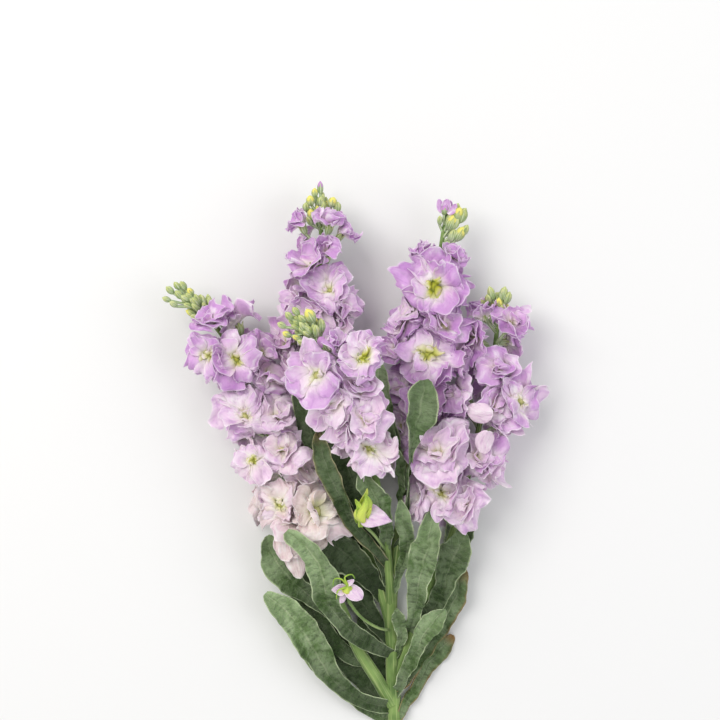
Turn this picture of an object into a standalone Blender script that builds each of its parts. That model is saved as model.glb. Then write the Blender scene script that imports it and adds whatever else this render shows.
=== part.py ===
"""A cut spray of double stock, laid on a table: one branching stem, five flower spikes and its leaves.

Metres, +Z up. The spray lies along +Y with its cut end at -Y. The origin is on the table, under the
fork of the stem, in the middle of the flat strip that the stem rests on. Places and sizes below are
in millimetres in that same frame, and mm() turns them into metres.
"""

import math
from dataclasses import dataclass
from typing import NamedTuple

import bpy
import numpy as np

GAP = 0.4
UP = np.array((0.0, 0.0, 1.0))
GOLDEN_ANGLE = math.radians(137.508)

# Stem, branches and side stalks
STEM_RADIUS_CUT_END = 4.4
STEM_RADIUS_FORK = 4.2
STEM_RINGS = 9
STEM_SIDES = 10
BRANCH_RADIUS_TIP = 1.2
BRANCH_RINGS = 11
BRANCH_SIDES = 6
STALK_RADIUS = 0.9
STALK_RINGS = 6

# Buds
BUD_LENGTH = 9.5
BUD_RADIUS = 2.9
BUD_SIDES = 5
BUDS_IN_HEAD = 10
HEAD_LENGTH = 20.0
HEAD_LEAN_LOW = 62
HEAD_LEAN_TIP = 12

# Florets
PETAL_THICKNESS = 0.9
BLOOM_FULLNESS = 1.12
NOTCH_SHARE = 0.66
RUFFLE_SHARE = 0.08
EYE_SHARE = 0.45
SITE_SHARE = 0.2
THROAT_RADII = (1.4, 2.8, 0)
THROAT_SIDES = 4
THROAT_STEPS = 7
CORE_RADIUS = 4.4
CORE_RINGS = 8
CORE_SIDES = 6
AXIS_STEPS = 160
HIDDEN_RADIUS = 14.4
HIDDEN_TAPER = 3.0
HIDDEN_ANGLES = (60, 160, 100, 12, 125, 75, 172, 30)
REST_HEIGHT = 2.6
TABLE_SINK = 0.25
CELL_ROUND_LIFTS = (0.5, 0.3, 0, 0, 0, 0, 0, 0)
SPIKE_ROUNDS = 3

# Leaves, with the shares of a leaf's length where its outline is set and where it widens and rounds off
LEAF_THICKNESS = 0.9
LEAF_FOOT_SHARE = 0.4
LEAF_STATIONS = np.array((0, 0.15, 0.29, 0.42, 0.55, 0.67, 0.79, 0.90, 1.0))
LEAF_WIDENS_FROM = 0.08
LEAF_WIDENS_TO = 0.70
LEAF_TIP_ENDS = 1.015

# The share of facets kept once a node's solids are joined
KEPT_FACETS = 0.645
TABLE_BLOCK = (700.0, 900.0, 60.0)


class PetalLayer(NamedTuple):
    """A ring of petals: its lobes, the rim points of each, and its size, rise and lift in bloom radii."""

    lobes: int
    points: int
    size: float
    rise: float
    lift: float


# The layers of a bloom whose radius is at least the first value
PETAL_LAYERS = (
    (
        14.5,
        (
            PetalLayer(4, 3, 1.00, 0.05, 0),
            PetalLayer(3, 3, 0.74, 0.38, 0.07),
            PetalLayer(3, 2, 0.46, 0.75, 0.12),
        ),
    ),
    (11.5, (PetalLayer(4, 3, 1.00, 0.08, 0), PetalLayer(3, 3, 0.66, 0.55, 0.08))),
    (0.0, (PetalLayer(4, 2, 1.00, 0.25, 0), PetalLayer(3, 2, 0.62, 0.80, 0.10))),
)


@dataclass(frozen=True)
class Spike:
    """A branch with flowers.

    Its path from the stem, the branch's radius at its root, the radius of its flowered part, (x, y,
    radius) of each bloom that faces up, how many more are hidden under it, and the shares of its path
    between which it flowers.
    """

    name: str
    path: tuple
    root_radius: float
    radius: float
    blooms: tuple
    hidden: int
    flowered: tuple


@dataclass(frozen=True)
class SideStalk:
    """A thin stalk: its path from the stem, and the centre and radius of the small flower at its end."""

    name: str
    path: tuple
    centre: tuple
    radius: float


@dataclass(frozen=True)
class Leaf:
    """A leaf: its rib's path from the stem, full width, turn in degrees at both ends, fold, edge waves."""

    name: str
    path: tuple
    width: float
    turn: tuple = (0, 0)
    fold: float = 0.22
    wave_height: float = 1.5
    waves: float = 2.5


@dataclass(frozen=True, eq=False)
class Bloom:
    """A floret: its spike and number there, its throat's root, its centre, facing and radius, in metres.

    A hidden one faces down or sideways under its spike, and has one layer of petals.
    """

    spike: str
    number: int
    root: np.ndarray
    centre: np.ndarray
    face: np.ndarray
    radius: float
    hidden: bool = False

    def site(self):
        """The middle of the room it takes up."""
        return self.centre + self.face * self.radius * SITE_SHARE


MAIN_STEM = ((5, -78, 3.9), (3, -55, 3.8), (1, -25, 3.6), (0, 0, 3.4), (-1, 20, 3.9), (-1, 42, 5.4))

SPIKES = (
    Spike(
        "left",
        ((-1, 4, 4.2), (-11, 21, 5.5), (-22, 39, 7.5), (-32, 63, 11), (-44, 93, 15), (-58, 126, 18),
         (-71, 159, 20), (-85, 192, 20), (-98, 221, 21), (-112, 241, 23), (-125, 254, 26)),
        4.2,
        25,
        ((-111, 246, 10), (-97, 248, 10), (-116, 221, 12), (-95, 217, 14), (-78, 224, 11), (-76, 205, 14),
         (-94, 184, 14), (-70, 181, 15), (-90, 155, 10), (-67, 161, 14), (-74, 132, 14), (-44, 128, 16),
         (-57, 148, 12), (-59, 124, 12), (-61, 99, 12)),
        8,
        (0.42, 0.88),
    ),
    Spike(
        "tall_left",
        ((-1, 48, 6), (-9, 78, 8), (-20, 114, 12), (-30, 150, 16), (-39, 186, 19), (-44, 222, 20),
         (-46, 252, 20), (-45, 282, 21), (-44, 312, 22)),
        3.3,
        24,
        ((-57, 300, 8), (-42, 298, 10), (-29, 294, 8), (-54, 275, 13), (-41, 279, 10), (-38, 260, 14),
         (-29, 249, 12), (-62, 250, 12), (-31, 233, 12), (-69, 228, 12), (-61, 212, 12)),
        7,
        (0.60, 0.93),
    ),
    Spike(
        "front",
        ((-2, 63, 8), (-4, 96, 18), (-8, 126, 30), (-14, 156, 42), (-23, 183, 52), (-34, 207, 58),
         (-46, 226, 62), (-57, 238, 65)),
        2.9,
        21,
        ((-37, 225, 8), (-21, 221, 12), (-46, 206, 14), (-23, 201, 11), (-34, 190, 13), (-19, 184, 13),
         (-15, 162, 12), (-27, 176, 11)),
        4,
        (0.48, 0.86),
    ),
    Spike(
        "tall_right",
        ((-1, 38, 5.2), (-2, 66, 8), (1, 96, 12), (5, 126, 16), (9, 156, 18), (14, 192, 20), (20, 228, 21),
         (25, 261, 22), (30, 288, 23), (33, 306, 25)),
        4.3,
        25,
        ((12, 279, 10), (38, 280, 9), (23, 260, 18), (41, 256, 11), (5, 241, 14), (27, 238, 15),
         (-1, 224, 12), (20, 218, 16), (37, 221, 11), (3, 198, 12), (18, 192, 13), (4, 174, 11)),
        8,
        (0.50, 0.91),
    ),
    Spike(
        "right",
        ((0, 18, 4.5), (9, 45, 7), (21, 75, 12), (34, 108, 18), (44, 144, 21), (52, 180, 21.5),
         (59, 213, 21), (62, 237, 22), (62, 252, 23)),
        2.6,
        25,
        ((53, 243, 9), (69, 237, 11), (50, 226, 12), (62, 210, 11), (78, 194, 13), (38, 193, 14),
         (59, 187, 11), (69, 173, 10), (26, 163, 16), (51, 159, 13), (62, 148, 12), (19, 148, 10),
         (19, 130, 12), (43, 129, 14)),
        8,
        (0.45, 0.93),
    ),
)

SIDE_STALKS = (
    SideStalk("upper", ((-5, 100, 20), (-12, 111, 36), (-18, 121, 46), (-20, 128, 49)), (-15, 127, 53), 7),
    SideStalk("lower", ((-1, 50, 6.2), (-10, 54, 22), (-18, 62, 34), (-24, 70, 41)), (-29, 78, 46), 9),
)

# Low leaves lie along the table, so they are flatter than the ones that stand up from the stem
LOW = {"fold": 0.15, "wave_height": 0.8}

LEAVES = (
    Leaf(
        "upper_right",
        ((1.5, 100, 13.5), (6, 118, 26), (7, 140, 40), (9, 162, 49), (14, 186, 53), (16, 203, 54)),
        20,
    ),
    Leaf(
        "centre_blue",
        ((5.5, 131, 18.5), (5, 144, 24), (2, 159, 29), (-4, 177, 36), (-9, 200, 39), (-11, 219, 40)),
        11,
    ),
    Leaf(
        "centre_narrow",
        ((4, 119, 17), (3, 132, 27), (4, 146, 34), (1, 160, 38), (-3, 176, 43)),
        8,
        (25, 50),
    ),
    Leaf(
        "left_long",
        ((-4, 91, 17), (-14, 105, 27), (-27, 120, 34), (-34, 138, 40), (-42, 156, 43), (-47, 175, 44)),
        14,
    ),
    Leaf(
        "left_back",
        ((-19, 112, 13.5), (-32, 135, 20), (-45, 160, 28), (-53, 182, 33), (-58, 203, 36)),
        15,
    ),
    Leaf("left_inner", ((-3, 80, 13), (-12, 105, 20), (-24, 140, 27), (-34, 168, 31), (-42, 190, 33)), 17),
    Leaf("centre_pointed", ((-5, 101, 20), (-6, 118, 34), (-12, 134, 42), (-21, 147, 46)), 16, (0, 15)),
    Leaf("centre_low", ((-1.5, 72, 9), (4, 88, 20), (7, 104, 29), (5, 120, 36), (2, 133, 40)), 10),
    Leaf("right_paddle", ((9, 45, 7), (14, 62, 20), (17, 84, 31), (20, 105, 36), (22, 124, 37)), 19),
    Leaf("right_back", ((13, 54, 9), (24, 66, 14), (36, 90, 19), (44, 113, 24)), 19),
    Leaf(
        "right_brown",
        ((0, 14, 4.5), (6, 19, 7), (18, 36, 9), (31, 57, 9), (40, 72, 10), (45, 89, 12)),
        14,
    ),
    Leaf("right_lowest", ((1, 0, 4), (12, 14, 4.0), (25, 32, 2.6), (36, 48, 1.2)), 12, **LOW),
    Leaf("right_middle", ((0, 8, 4.5), (6, 20, 12), (16, 40, 17), (24, 55, 19), (29, 66, 20)), 16),
    Leaf("centre_small", ((0, 36, 5.2), (4, 44, 12), (3, 56, 17), (0, 66, 20)), 9),
    Leaf(
        "left_curl",
        ((-1, 36, 5.2), (-12, 42, 16), (-26, 52, 28), (-39, 70, 36), (-44, 90, 42), (-53, 106, 45),
         (-64, 114, 44)),
        19,
        (0, 20),
    ),
    Leaf("left_up", ((-27, 51, 11.5), (-42, 66, 14), (-60, 80, 18), (-72, 94, 22), (-77, 110, 27)), 18),
    Leaf(
        "left_low",
        ((0, 2, 4), (-18, 8, 10), (-36, 20, 14), (-50, 42, 16), (-61, 63, 18), (-76, 76, 22)),
        20,
    ),
    Leaf(
        "left_lowest",
        ((1, -6, 4), (-16, -1, 4.5), (-36, 12, 3.6), (-50, 30, 2.2), (-60, 46, 1.4), (-68, 58, 2)),
        15,
        **LOW,
    ),
    Leaf("dark_middle", ((-7, 71, 7), (-14, 82, 14), (-27, 93, 22), (-43, 105, 28)), 21),
    Leaf("dark_low", ((-1, 44, 5.4), (-9, 52, 6), (-18, 64, 5), (-26, 78, 3), (-33, 94, 1.2)), 20, **LOW),
    Leaf("dark_floor", ((-4, 62, 6.5), (-9, 84, 4), (-17, 108, 3), (-27, 134, 2.5)), 18, **LOW),
    Leaf(
        "fork_floor",
        ((-2, 10, 3.8), (-6, 20, 2.5), (-11, 32, 2), (-15, 46, 1.8), (-19, 58, 1.6)),
        13,
        **LOW,
    ),
    Leaf(
        "left_floor",
        ((-2, 0, 3.6), (-14, 12, 2.5), (-26, 28, 2), (-36, 48, 1.8), (-44, 68, 1.6)),
        16,
        **LOW,
    ),
    Leaf(
        "left_under",
        ((-17, 31, 7.5), (-30, 37, 7), (-45, 52, 9), (-54, 72, 10), (-62, 90, 11)),
        19,
        **LOW,
    ),
    Leaf("right_under", ((17, 66, 10), (28, 80, 6), (38, 96, 4), (44, 114, 3), (48, 129, 2)), 18, **LOW),
)


def mm(values):
    """Millimetres to metres, as an array."""
    return np.asarray(values, float) * 0.001


def unit(vectors):
    """Each row at length one."""
    vectors = np.asarray(vectors, float)
    return vectors / np.maximum(np.linalg.norm(vectors, axis=-1, keepdims=True), 1e-12)


def along(curve, shares):
    """The points of a curve at these shares of its length."""
    run = np.concatenate([[0], np.cumsum(np.linalg.norm(np.diff(curve, axis=0), axis=1))])
    return np.column_stack([np.interp(np.asarray(shares) * run[-1], run, curve[:, k]) for k in range(3)])


def curve_through(points, steps):
    """A Catmull-Rom curve through the points, in even steps along its length."""
    p = np.asarray(points, float)
    p = np.vstack([2 * p[0] - p[1], p, 2 * p[-1] - p[-2]])
    t = np.linspace(0, 1, 12, endpoint=False)[:, None]
    spans = [
        0.5 * (2 * b + (c - a) * t + (2 * a - 5 * b + 4 * c - d) * t**2 + (3 * b - a - 3 * c + d) * t**3)
        for a, b, c, d in zip(p[:-3], p[1:-2], p[2:-1], p[3:])
    ]
    return along(np.vstack([*spans, p[-2:-1]]), np.linspace(0, 1, steps + 1))


def directions(curve):
    """The unit tangent at each point."""
    return unit(np.gradient(curve, axis=0))


def outward(verts, tris):
    """The same closed skin, with its faces pointing out."""
    a, b, c = (verts[tris[:, k]] for k in range(3))
    volume = np.einsum("ij,ij->i", a, np.cross(b, c)).sum()
    return verts, tris if volume > 0 else tris[:, ::-1]


def loft(points, radii, sides):
    """A closed round skin along the points, a facet facing down. A last radius of 0 makes a point."""
    points = np.asarray(points, float)
    tangents = directions(points)
    side = unit(np.cross(tangents, UP + 1e-3))
    over = np.cross(side, tangents)
    angles = ((np.arange(sides) + 0.5) * 2 * math.pi / sides)[None, :, None]
    ring = np.cos(angles) * over[:, None] + np.sin(angles) * side[:, None]
    verts = (points[:, None] + ring * np.asarray(radii, float)[:, None, None]).reshape(-1, 3)
    last = (len(points) - 1) * sides
    tris = []
    for start in range(0, last, sides):
        for k in range(sides):
            a, b = start + k, start + (k + 1) % sides
            tris += [(a, b, b + sides), (a, b + sides, a + sides)]
    tris += [(0, k + 1, k) for k in range(1, sides - 1)]
    if radii[-1] > 0:
        tris += [(last, last + k, last + k + 1) for k in range(1, sides - 1)]
        return outward(verts, np.array(tris))
    tris = [tri for tri in np.minimum(tris, last).tolist() if len(set(tri)) == 3]
    return outward(verts[: last + 1], np.array(tris))


def blade(middle, tris, rim, thickness):
    """A thin closed plate: the middle surface offset both ways along its normals, closed round its rim."""
    a, b, c = (middle[tris[:, k]] for k in range(3))
    normals = np.zeros_like(middle)
    for k in range(3):
        np.add.at(normals, tris[:, k], np.cross(b - a, c - a))
    shift = unit(normals) * thickness / 2
    count = len(middle)
    edge = [
        tri
        for p, q in zip(rim, np.roll(rim, -1))
        for tri in ((p, p + count, q + count), (p, q + count, q))
    ]
    verts = np.vstack([middle + shift, middle - shift])
    return outward(verts, np.vstack([tris, tris[:, ::-1] + count, edge]))


def corolla(layer, radius, rise, start):
    """One layer of petals as a lobed sheet in the bloom's own axes: its rim points and its triangles.

    Each lobe runs from a notch through its waved outer points to the next notch, and the notches are
    joined across the middle. The outer points stand at rise above the middle.
    """
    count = layer.lobes * layer.points
    k = np.arange(count)
    place = (k % layer.points) / layer.points
    is_notch = place == 0
    angle = start + k * 2 * math.pi / count
    reach = np.where(is_notch, NOTCH_SHARE, 1 - 0.1 * np.abs(place - 0.5))
    wave = np.where(is_notch, 0, np.cos(math.pi * layer.points * place + k // layer.points))
    height = rise * reach**2 + RUFFLE_SHARE * wave
    rim = np.column_stack([np.cos(angle) * reach, np.sin(angle) * reach, height]) * radius
    notches = np.arange(layer.lobes) * layer.points
    tris = [(n, n + i, (n + i + 1) % count) for n in notches for i in range(1, layer.points)]
    tris += [(0, notches[i], notches[i + 1]) for i in range(1, layer.lobes - 1)]
    return rim, np.array(tris)


def nearest(curve, points):
    """For each point, the nearest point of a dense curve and the distance to it."""
    apart = np.linalg.norm(points[:, None] - curve[None], axis=2)
    index = apart.argmin(axis=1)
    return curve[index], apart[np.arange(len(points)), index]


def on_own_side(points, spike):
    """Petal points pushed back to their own spike's side of its neighbours."""
    points = points.copy()
    own_axis = spike_axis(spike)
    for _ in range(SPIKE_ROUNDS):
        _, mine = nearest(own_axis, points)
        for other in SPIKES:
            foot, theirs = nearest(spike_axis(other), points)
            short = np.maximum((mine - mm(spike.radius)) - (theirs - mm(other.radius)), 0)
            points += unit(points - foot) * 0.55 * short[:, None]
    return points


def in_own_room(points, bloom, blooms):
    """Petal points kept in their bloom's own share of the room, and off the table.

    A plane stands between each two blooms, placed by their radii. A point past it is pushed straight
    back, and in the first rounds it rises a little, as crowded petals do. Each share is convex, so
    whole petals stay in it.
    """
    points = points.copy()
    site = bloom.site()
    planes = []
    for other in blooms:
        away = other.site() - site
        apart = np.linalg.norm(away)
        if 0 < apart < (bloom.radius + other.radius) * 1.5:
            share = apart * bloom.radius / (bloom.radius + other.radius)
            planes.append((away / apart, share - mm(PETAL_THICKNESS + GAP) / 2))
    for lift in CELL_ROUND_LIFTS:
        for normal, share in planes:
            over = np.maximum((points - site) @ normal - share, 0)[:, None]
            points += over * (lift * bloom.face - normal)
    points[:, 2] = np.maximum(points[:, 2], mm(PETAL_THICKNESS / 2 - TABLE_SINK))
    return points


def bloom_solids(bloom, spike, blooms):
    """One double floret: its throat from the spike's middle, and its layers of petals, each cupped more."""
    across = unit(np.cross(UP + (0.01, 0.02, 0), bloom.face))
    upright = np.cross(bloom.face, across)
    openness = 0.75 + 0.5 * ((bloom.number * 0.618) % 1)
    throat = [bloom.root, bloom.centre, bloom.centre + bloom.face * bloom.radius * EYE_SHARE]
    solids = [loft(throat, mm(THROAT_RADII), THROAT_SIDES)]
    layers = next(layers for least, layers in PETAL_LAYERS if bloom.radius >= mm(least))
    if bloom.hidden:
        layers = layers[:1]
    for i, layer in enumerate(layers):
        start = bloom.number * GOLDEN_ANGLE + i * math.pi / 4
        flat, tris = corolla(layer, layer.size * bloom.radius, layer.rise * openness, start)
        height = flat[:, 2:] + layer.lift * bloom.radius
        placed = bloom.centre + flat[:, :1] * across + flat[:, 1:2] * upright + height * bloom.face
        if spike:
            placed = on_own_side(placed, spike)
        placed = in_own_room(placed, bloom, blooms)
        solids.append(blade(placed, tris, np.arange(len(placed)), mm(PETAL_THICKNESS)))
    return solids


def spike_axis(spike):
    """The branch's path as a dense curve, in metres."""
    return curve_through(mm(spike.path), AXIS_STEPS)


def facing_blooms(spike):
    """The blooms listed in the spike, which stand out of its upper half and face outwards and up."""
    axis = spike_axis(spike)
    run = directions(axis)
    made = []
    for number, place in enumerate(spike.blooms):
        x, y, radius = mm(place) * (1, 1, BLOOM_FULLNESS)
        index = np.linalg.norm(axis[:, :2] - (x, y), axis=1).argmin()
        beside = (x, y, 0) - axis[index] * (1, 1, 0)
        reach = 0.55 * radius + mm(5.5)
        lift = max(math.sqrt(max(reach**2 - beside @ beside, 0)), mm(3))
        out = beside + UP * lift
        face = unit(unit(out) + 0.25 * run[index] + 0.35 * UP)
        root = axis[max(index - THROAT_STEPS, 0)]
        made.append(Bloom(spike.name, number, root, axis[index] + out, face, radius))
    return made


def hidden_blooms(spike):
    """The blooms on the under side, set round it in turn.

    Those that face the table and can reach it lie on it, so the spray rests on them.
    """
    axis = spike_axis(spike)
    run = directions(axis)
    first, last = spike.flowered
    made = []
    for i in range(spike.hidden):
        share = (i + 0.5) / spike.hidden
        index = int((first + (last - first) * share) * AXIS_STEPS)
        level = unit(np.cross(run[index], UP))
        under = np.cross(run[index], level)
        under *= -np.sign(under[2])
        angle = math.radians(HIDDEN_ANGLES[i % len(HIDDEN_ANGLES)])
        out = math.cos(angle) * level + math.sin(angle) * under
        radius = mm(HIDDEN_RADIUS - HIDDEN_TAPER * share)
        drop = (axis[index, 2] - mm(REST_HEIGHT)) / -out[2]
        reach = drop if drop < 2.1 * radius else 0.8 * radius
        root = axis[max(index - THROAT_STEPS, 0)]
        face = unit(out + 0.15 * run[index])
        number = len(spike.blooms) + i
        made.append(Bloom(spike.name, number, root, axis[index] + out * reach, face, radius, True))
    return made


def spike_solids(spike, blooms):
    """The petals of a whole spike, with the slim core that they stand out of."""
    core = along(spike_axis(spike), np.linspace(*spike.flowered, CORE_RINGS))
    radii = np.linspace(*mm((CORE_RADIUS, CORE_RADIUS * 0.75)), CORE_RINGS)
    solids = [loft(core, radii, CORE_SIDES)]
    for bloom in blooms:
        if bloom.spike == spike.name:
            solids += bloom_solids(bloom, spike, blooms)
    return solids


def side_bloom_solids(stalk):
    """The small open flower at the end of a side stalk."""
    path = mm(stalk.path)
    face = unit(unit(path[-1] - path[-2]) + 0.8 * UP)
    bloom = Bloom(stalk.name, 1, path[-1], mm(stalk.centre), face, mm(stalk.radius))
    return bloom_solids(bloom, None, [bloom])


def bud(root, heading, length, grow):
    """A closed bud on its short stalk."""
    stations = root + heading * length * np.array((0, 0.6, 1.0))[:, None]
    stations[-1] += heading * grow
    radii = np.array((0.45, 1.0, 0)) * length * BUD_RADIUS / BUD_LENGTH
    return loft(stations, radii + grow * np.array((1, 1, 0)), BUD_SIDES)


def bud_head(axis, grow):
    """The buds round a branch's last stretch, closing towards its tip."""
    run = directions(axis)
    length = np.linalg.norm(np.diff(axis, axis=0), axis=1).sum()
    solids = []
    for i, share in enumerate(np.linspace(0, 1, BUDS_IN_HEAD)):
        index = int((1 - mm(HEAD_LENGTH) * (1 - share) / length) * AXIS_STEPS) - 1
        level = unit(np.cross(run[index], UP))
        over = np.cross(level, run[index])
        out = math.cos(i * GOLDEN_ANGLE) * level + math.sin(i * GOLDEN_ANGLE) * over
        lean = math.radians(HEAD_LEAN_LOW + (HEAD_LEAN_TIP - HEAD_LEAN_LOW) * share)
        heading = math.sin(lean) * out + math.cos(lean) * run[index]
        solids.append(bud(axis[index], heading, mm(BUD_LENGTH * (1.15 - 0.5 * share)), grow))
    return solids


def stem_solids(grow=0.0):
    """The main stem, its branches with their bud heads, and the side stalks. Grow adds to every radius."""
    radii = np.linspace(*mm((STEM_RADIUS_CUT_END, STEM_RADIUS_FORK)), STEM_RINGS) + grow
    solids = [loft(curve_through(mm(MAIN_STEM), STEM_RINGS - 1), radii, STEM_SIDES)]
    for spike in SPIKES:
        axis = spike_axis(spike)
        radii = np.linspace(*mm((spike.root_radius, BRANCH_RADIUS_TIP)), BRANCH_RINGS) + grow
        solids.append(loft(along(axis, np.linspace(0, 1, BRANCH_RINGS)), radii, BRANCH_SIDES))
        solids += bud_head(axis, grow)
    for stalk in SIDE_STALKS:
        path = curve_through(mm(stalk.path), STALK_RINGS - 1)
        solids.append(loft(path, np.full(STALK_RINGS, mm(STALK_RADIUS) + grow), BUD_SIDES))
        solids.append(bud(path[-2], unit(path[-1] - path[-2]), mm(stalk.radius * 1.1), grow))
    return solids


def leaf_solid(leaf, grow=0.0):
    """A blade on a narrower foot, folded along its rib, its two edges waved out of step."""
    rib = along(curve_through(mm(leaf.path), 60), LEAF_STATIONS)
    tangents = directions(rib)
    rib[-1] += tangents[-1] * grow
    level = unit(np.cross(tangents, UP))
    over = np.cross(level, tangents)
    turn = np.radians(np.interp(LEAF_STATIONS, (0, 1), leaf.turn))[:, None]
    side = np.cos(turn) * level + np.sin(turn) * over
    facing = np.cross(side, tangents)
    widening = np.clip((LEAF_STATIONS - LEAF_WIDENS_FROM) / (LEAF_WIDENS_TO - LEAF_WIDENS_FROM), 0, 1)
    body = LEAF_FOOT_SHARE + (1 - LEAF_FOOT_SHARE) * widening**1.4
    past = np.maximum(LEAF_STATIONS - LEAF_WIDENS_TO, 0) / (LEAF_TIP_ENDS - LEAF_WIDENS_TO)
    half = mm(leaf.width) / 2 * body * np.sqrt(1 - past**2)
    phase = 2 * math.pi * leaf.waves * LEAF_STATIONS
    edges = [
        rib
        + side * (hand * (half + grow))[:, None]
        + facing * (leaf.fold * half + mm(leaf.wave_height) * body * np.sin(phase + hand))[:, None]
        for hand in (-1, 1)
    ]
    n = len(LEAF_STATIONS)
    tris = [
        tri
        for row in (0, n)
        for a in range(row, row + n - 1)
        for tri in ((a, a + 1, a + n + 1), (a, a + n + 1, a + n))
    ]
    rim = [*range(n), 2 * n - 1, *range(3 * n - 1, 2 * n - 1, -1), n]
    middle = np.vstack([edges[0], rib, edges[1]])
    return blade(middle, np.array(tris), rim, mm(LEAF_THICKNESS) + 2 * grow)


def table_block():
    """The space under the table's surface, which trims the low petals and the stem flat."""
    x, y, depth = mm(TABLE_BLOCK)
    centre = np.array((0, y / 4, 0))
    corners = [(-x / 2, -y / 2), (x / 2, -y / 2), (x / 2, y / 2), (-x / 2, y / 2)]
    verts = np.array([(*corner, z) for z in (-depth, 0) for corner in corners]) + centre
    tris = [(0, 2, 1), (0, 3, 2), (4, 5, 6), (4, 6, 7)]
    for a, b in ((0, 1), (1, 2), (2, 3), (3, 0)):
        tris += [(a, b, b + 4), (a, b + 4, a + 4)]
    return outward(verts, np.array(tris))


def material(name, colour, roughness):
    """A plain finish for one kind of piece."""
    made = bpy.data.materials.new(name)
    made.use_nodes = True
    shader = made.node_tree.nodes["Principled BSDF"]
    shader.inputs["Base Color"].default_value = (*colour, 1)
    shader.inputs["Roughness"].default_value = roughness
    return made


def add_object(name, solid, collection=None):
    """A mesh object of one closed skin."""
    verts, tris = solid
    mesh = bpy.data.meshes.new(name)
    mesh.from_pydata(verts.tolist(), [], tris.tolist())
    obj = bpy.data.objects.new(name, mesh)
    (collection or bpy.context.scene.collection).objects.link(obj)
    return obj


def collection_of(name, solids):
    """A collection that holds each solid as its own helper object."""
    made = bpy.data.collections.new(name)
    bpy.context.scene.collection.children.link(made)
    for i, solid in enumerate(solids):
        helper = add_object(f"{name}_{i}", solid, made)
        helper.hide_render = True
        helper.display_type = "WIRE"
    return made


def remove_collection(collection):
    """A collection removed with its objects."""
    for obj in list(collection.objects):
        bpy.data.objects.remove(obj)
    bpy.data.collections.remove(collection)


def add_boolean(obj, operation, collection):
    """A Boolean with a collection, by MANIFOLD, as EXACT leaves open edges among the blades."""
    modifier = obj.modifiers.new(operation.title(), "BOOLEAN")
    modifier.operation = operation
    modifier.operand_type = "COLLECTION"
    modifier.collection = collection
    modifier.solver = "MANIFOLD"


def add_thinning(obj):
    """The slivers that a union leaves in flat facets taken out."""
    modifier = obj.modifiers.new("Thinning", "DECIMATE")
    modifier.decimate_type = "COLLAPSE"
    modifier.ratio = KEPT_FACETS


def read(items, attribute, width, kind):
    """One attribute of all of a mesh's items, as rows."""
    values = np.zeros(len(items) * width, kind)
    items.foreach_get(attribute, values)
    return values.reshape(-1, width)


def skin_labels(count, edges):
    """A label for each vertex, the same for all those that edges join."""
    label = np.arange(count)
    before = None
    while before is None or (label != before).any():
        before = label.copy()
        low = np.minimum(label[edges[:, 0]], label[edges[:, 1]])
        np.minimum.at(label, edges[:, 0], low)
        np.minimum.at(label, edges[:, 1], low)
        label = label[label]
    return label


def one_body(mesh):
    """The largest skin alone: sealed hollows between petals are filled, and loose scraps are dropped."""
    mesh.calc_loop_triangles()
    points = read(mesh.vertices, "co", 3, float)
    tris = read(mesh.loop_triangles, "vertices", 3, int)
    label = skin_labels(len(points), read(mesh.edges, "vertices", 2, int))
    a, b, c = (points[tris[:, k]] for k in range(3))
    volumes = np.bincount(label[tris[:, 0]], np.einsum("ij,ij->i", a, np.cross(b, c)))
    largest = volumes.argmax()
    kept = np.flatnonzero(label == largest)
    index = np.zeros(len(points), int)
    index[kept] = np.arange(len(kept))
    return points[kept], index[tris[label[tris[:, 0]] == largest]]


def add_node(name, solids, finish, cutters):
    """One node: the solids joined in one body, less the room that the cutters take."""
    first = add_object(f"{name}_first", solids[0])
    joined = collection_of(f"{name}_rest", solids[1:])
    if joined.objects:
        add_boolean(first, "UNION", joined)
        add_thinning(first)
    for collection in cutters:
        add_boolean(first, "DIFFERENCE", collection)
    graph = bpy.context.evaluated_depsgraph_get()
    mesh = bpy.data.meshes.new_from_object(first.evaluated_get(graph))
    made = add_object(name, one_body(mesh))
    made.data.materials.append(finish)
    made.data.shade_smooth()
    made.data.set_sharp_from_angle(angle=math.radians(40))
    bpy.data.meshes.remove(mesh)
    bpy.data.objects.remove(first)
    remove_collection(joined)


def build():
    """Every node of the spray."""
    for obj in list(bpy.data.objects):
        bpy.data.objects.remove(obj)
    stem_green = material("stem_green", (0.22, 0.36, 0.12), 0.6)
    leaf_green = material("leaf_grey_green", (0.10, 0.20, 0.09), 0.7)
    lilac = material("petal_lilac", (0.62, 0.42, 0.74), 0.6)

    table = collection_of("table", [table_block()])
    stem_room = collection_of("stem_room", stem_solids(mm(GAP)))
    leaf_room = collection_of("leaf_room", [leaf_solid(leaf, mm(GAP)) for leaf in LEAVES])

    add_node("stem", stem_solids(), stem_green, [table])
    for leaf in LEAVES:
        add_node(f"leaf_{leaf.name}", [leaf_solid(leaf)], leaf_green, [stem_room, table])
    blooms = [bloom for spike in SPIKES for bloom in (*facing_blooms(spike), *hidden_blooms(spike))]
    for spike in SPIKES:
        add_node(f"blooms_{spike.name}", spike_solids(spike, blooms), lilac, [stem_room, leaf_room, table])
    for stalk in SIDE_STALKS:
        add_node(f"side_bloom_{stalk.name}", side_bloom_solids(stalk), lilac, [stem_room, leaf_room])

    for collection in (table, stem_room, leaf_room):
        remove_collection(collection)


build()
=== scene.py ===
"""The looks of a cut spray of double stock, laid on a pale floor and seen from straight above.

Metres, +Z up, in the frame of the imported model: the spray lies along +Y with its cut end at -Y, and
the origin is on the floor under the fork of the stem. Layout values are in millimetres, and mm()
turns them into metres.

Every mesh carries two attributes that its material reads. "paint" holds four shares from 0 to 1, and
"grain" holds a place in the tissue's own flattened space, in metres, so that veins and ribs follow it.
"""

import logging
import math
from dataclasses import dataclass, field
from enum import Enum
from typing import NamedTuple

import bpy
import numpy as np
from mathutils import Matrix

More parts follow.
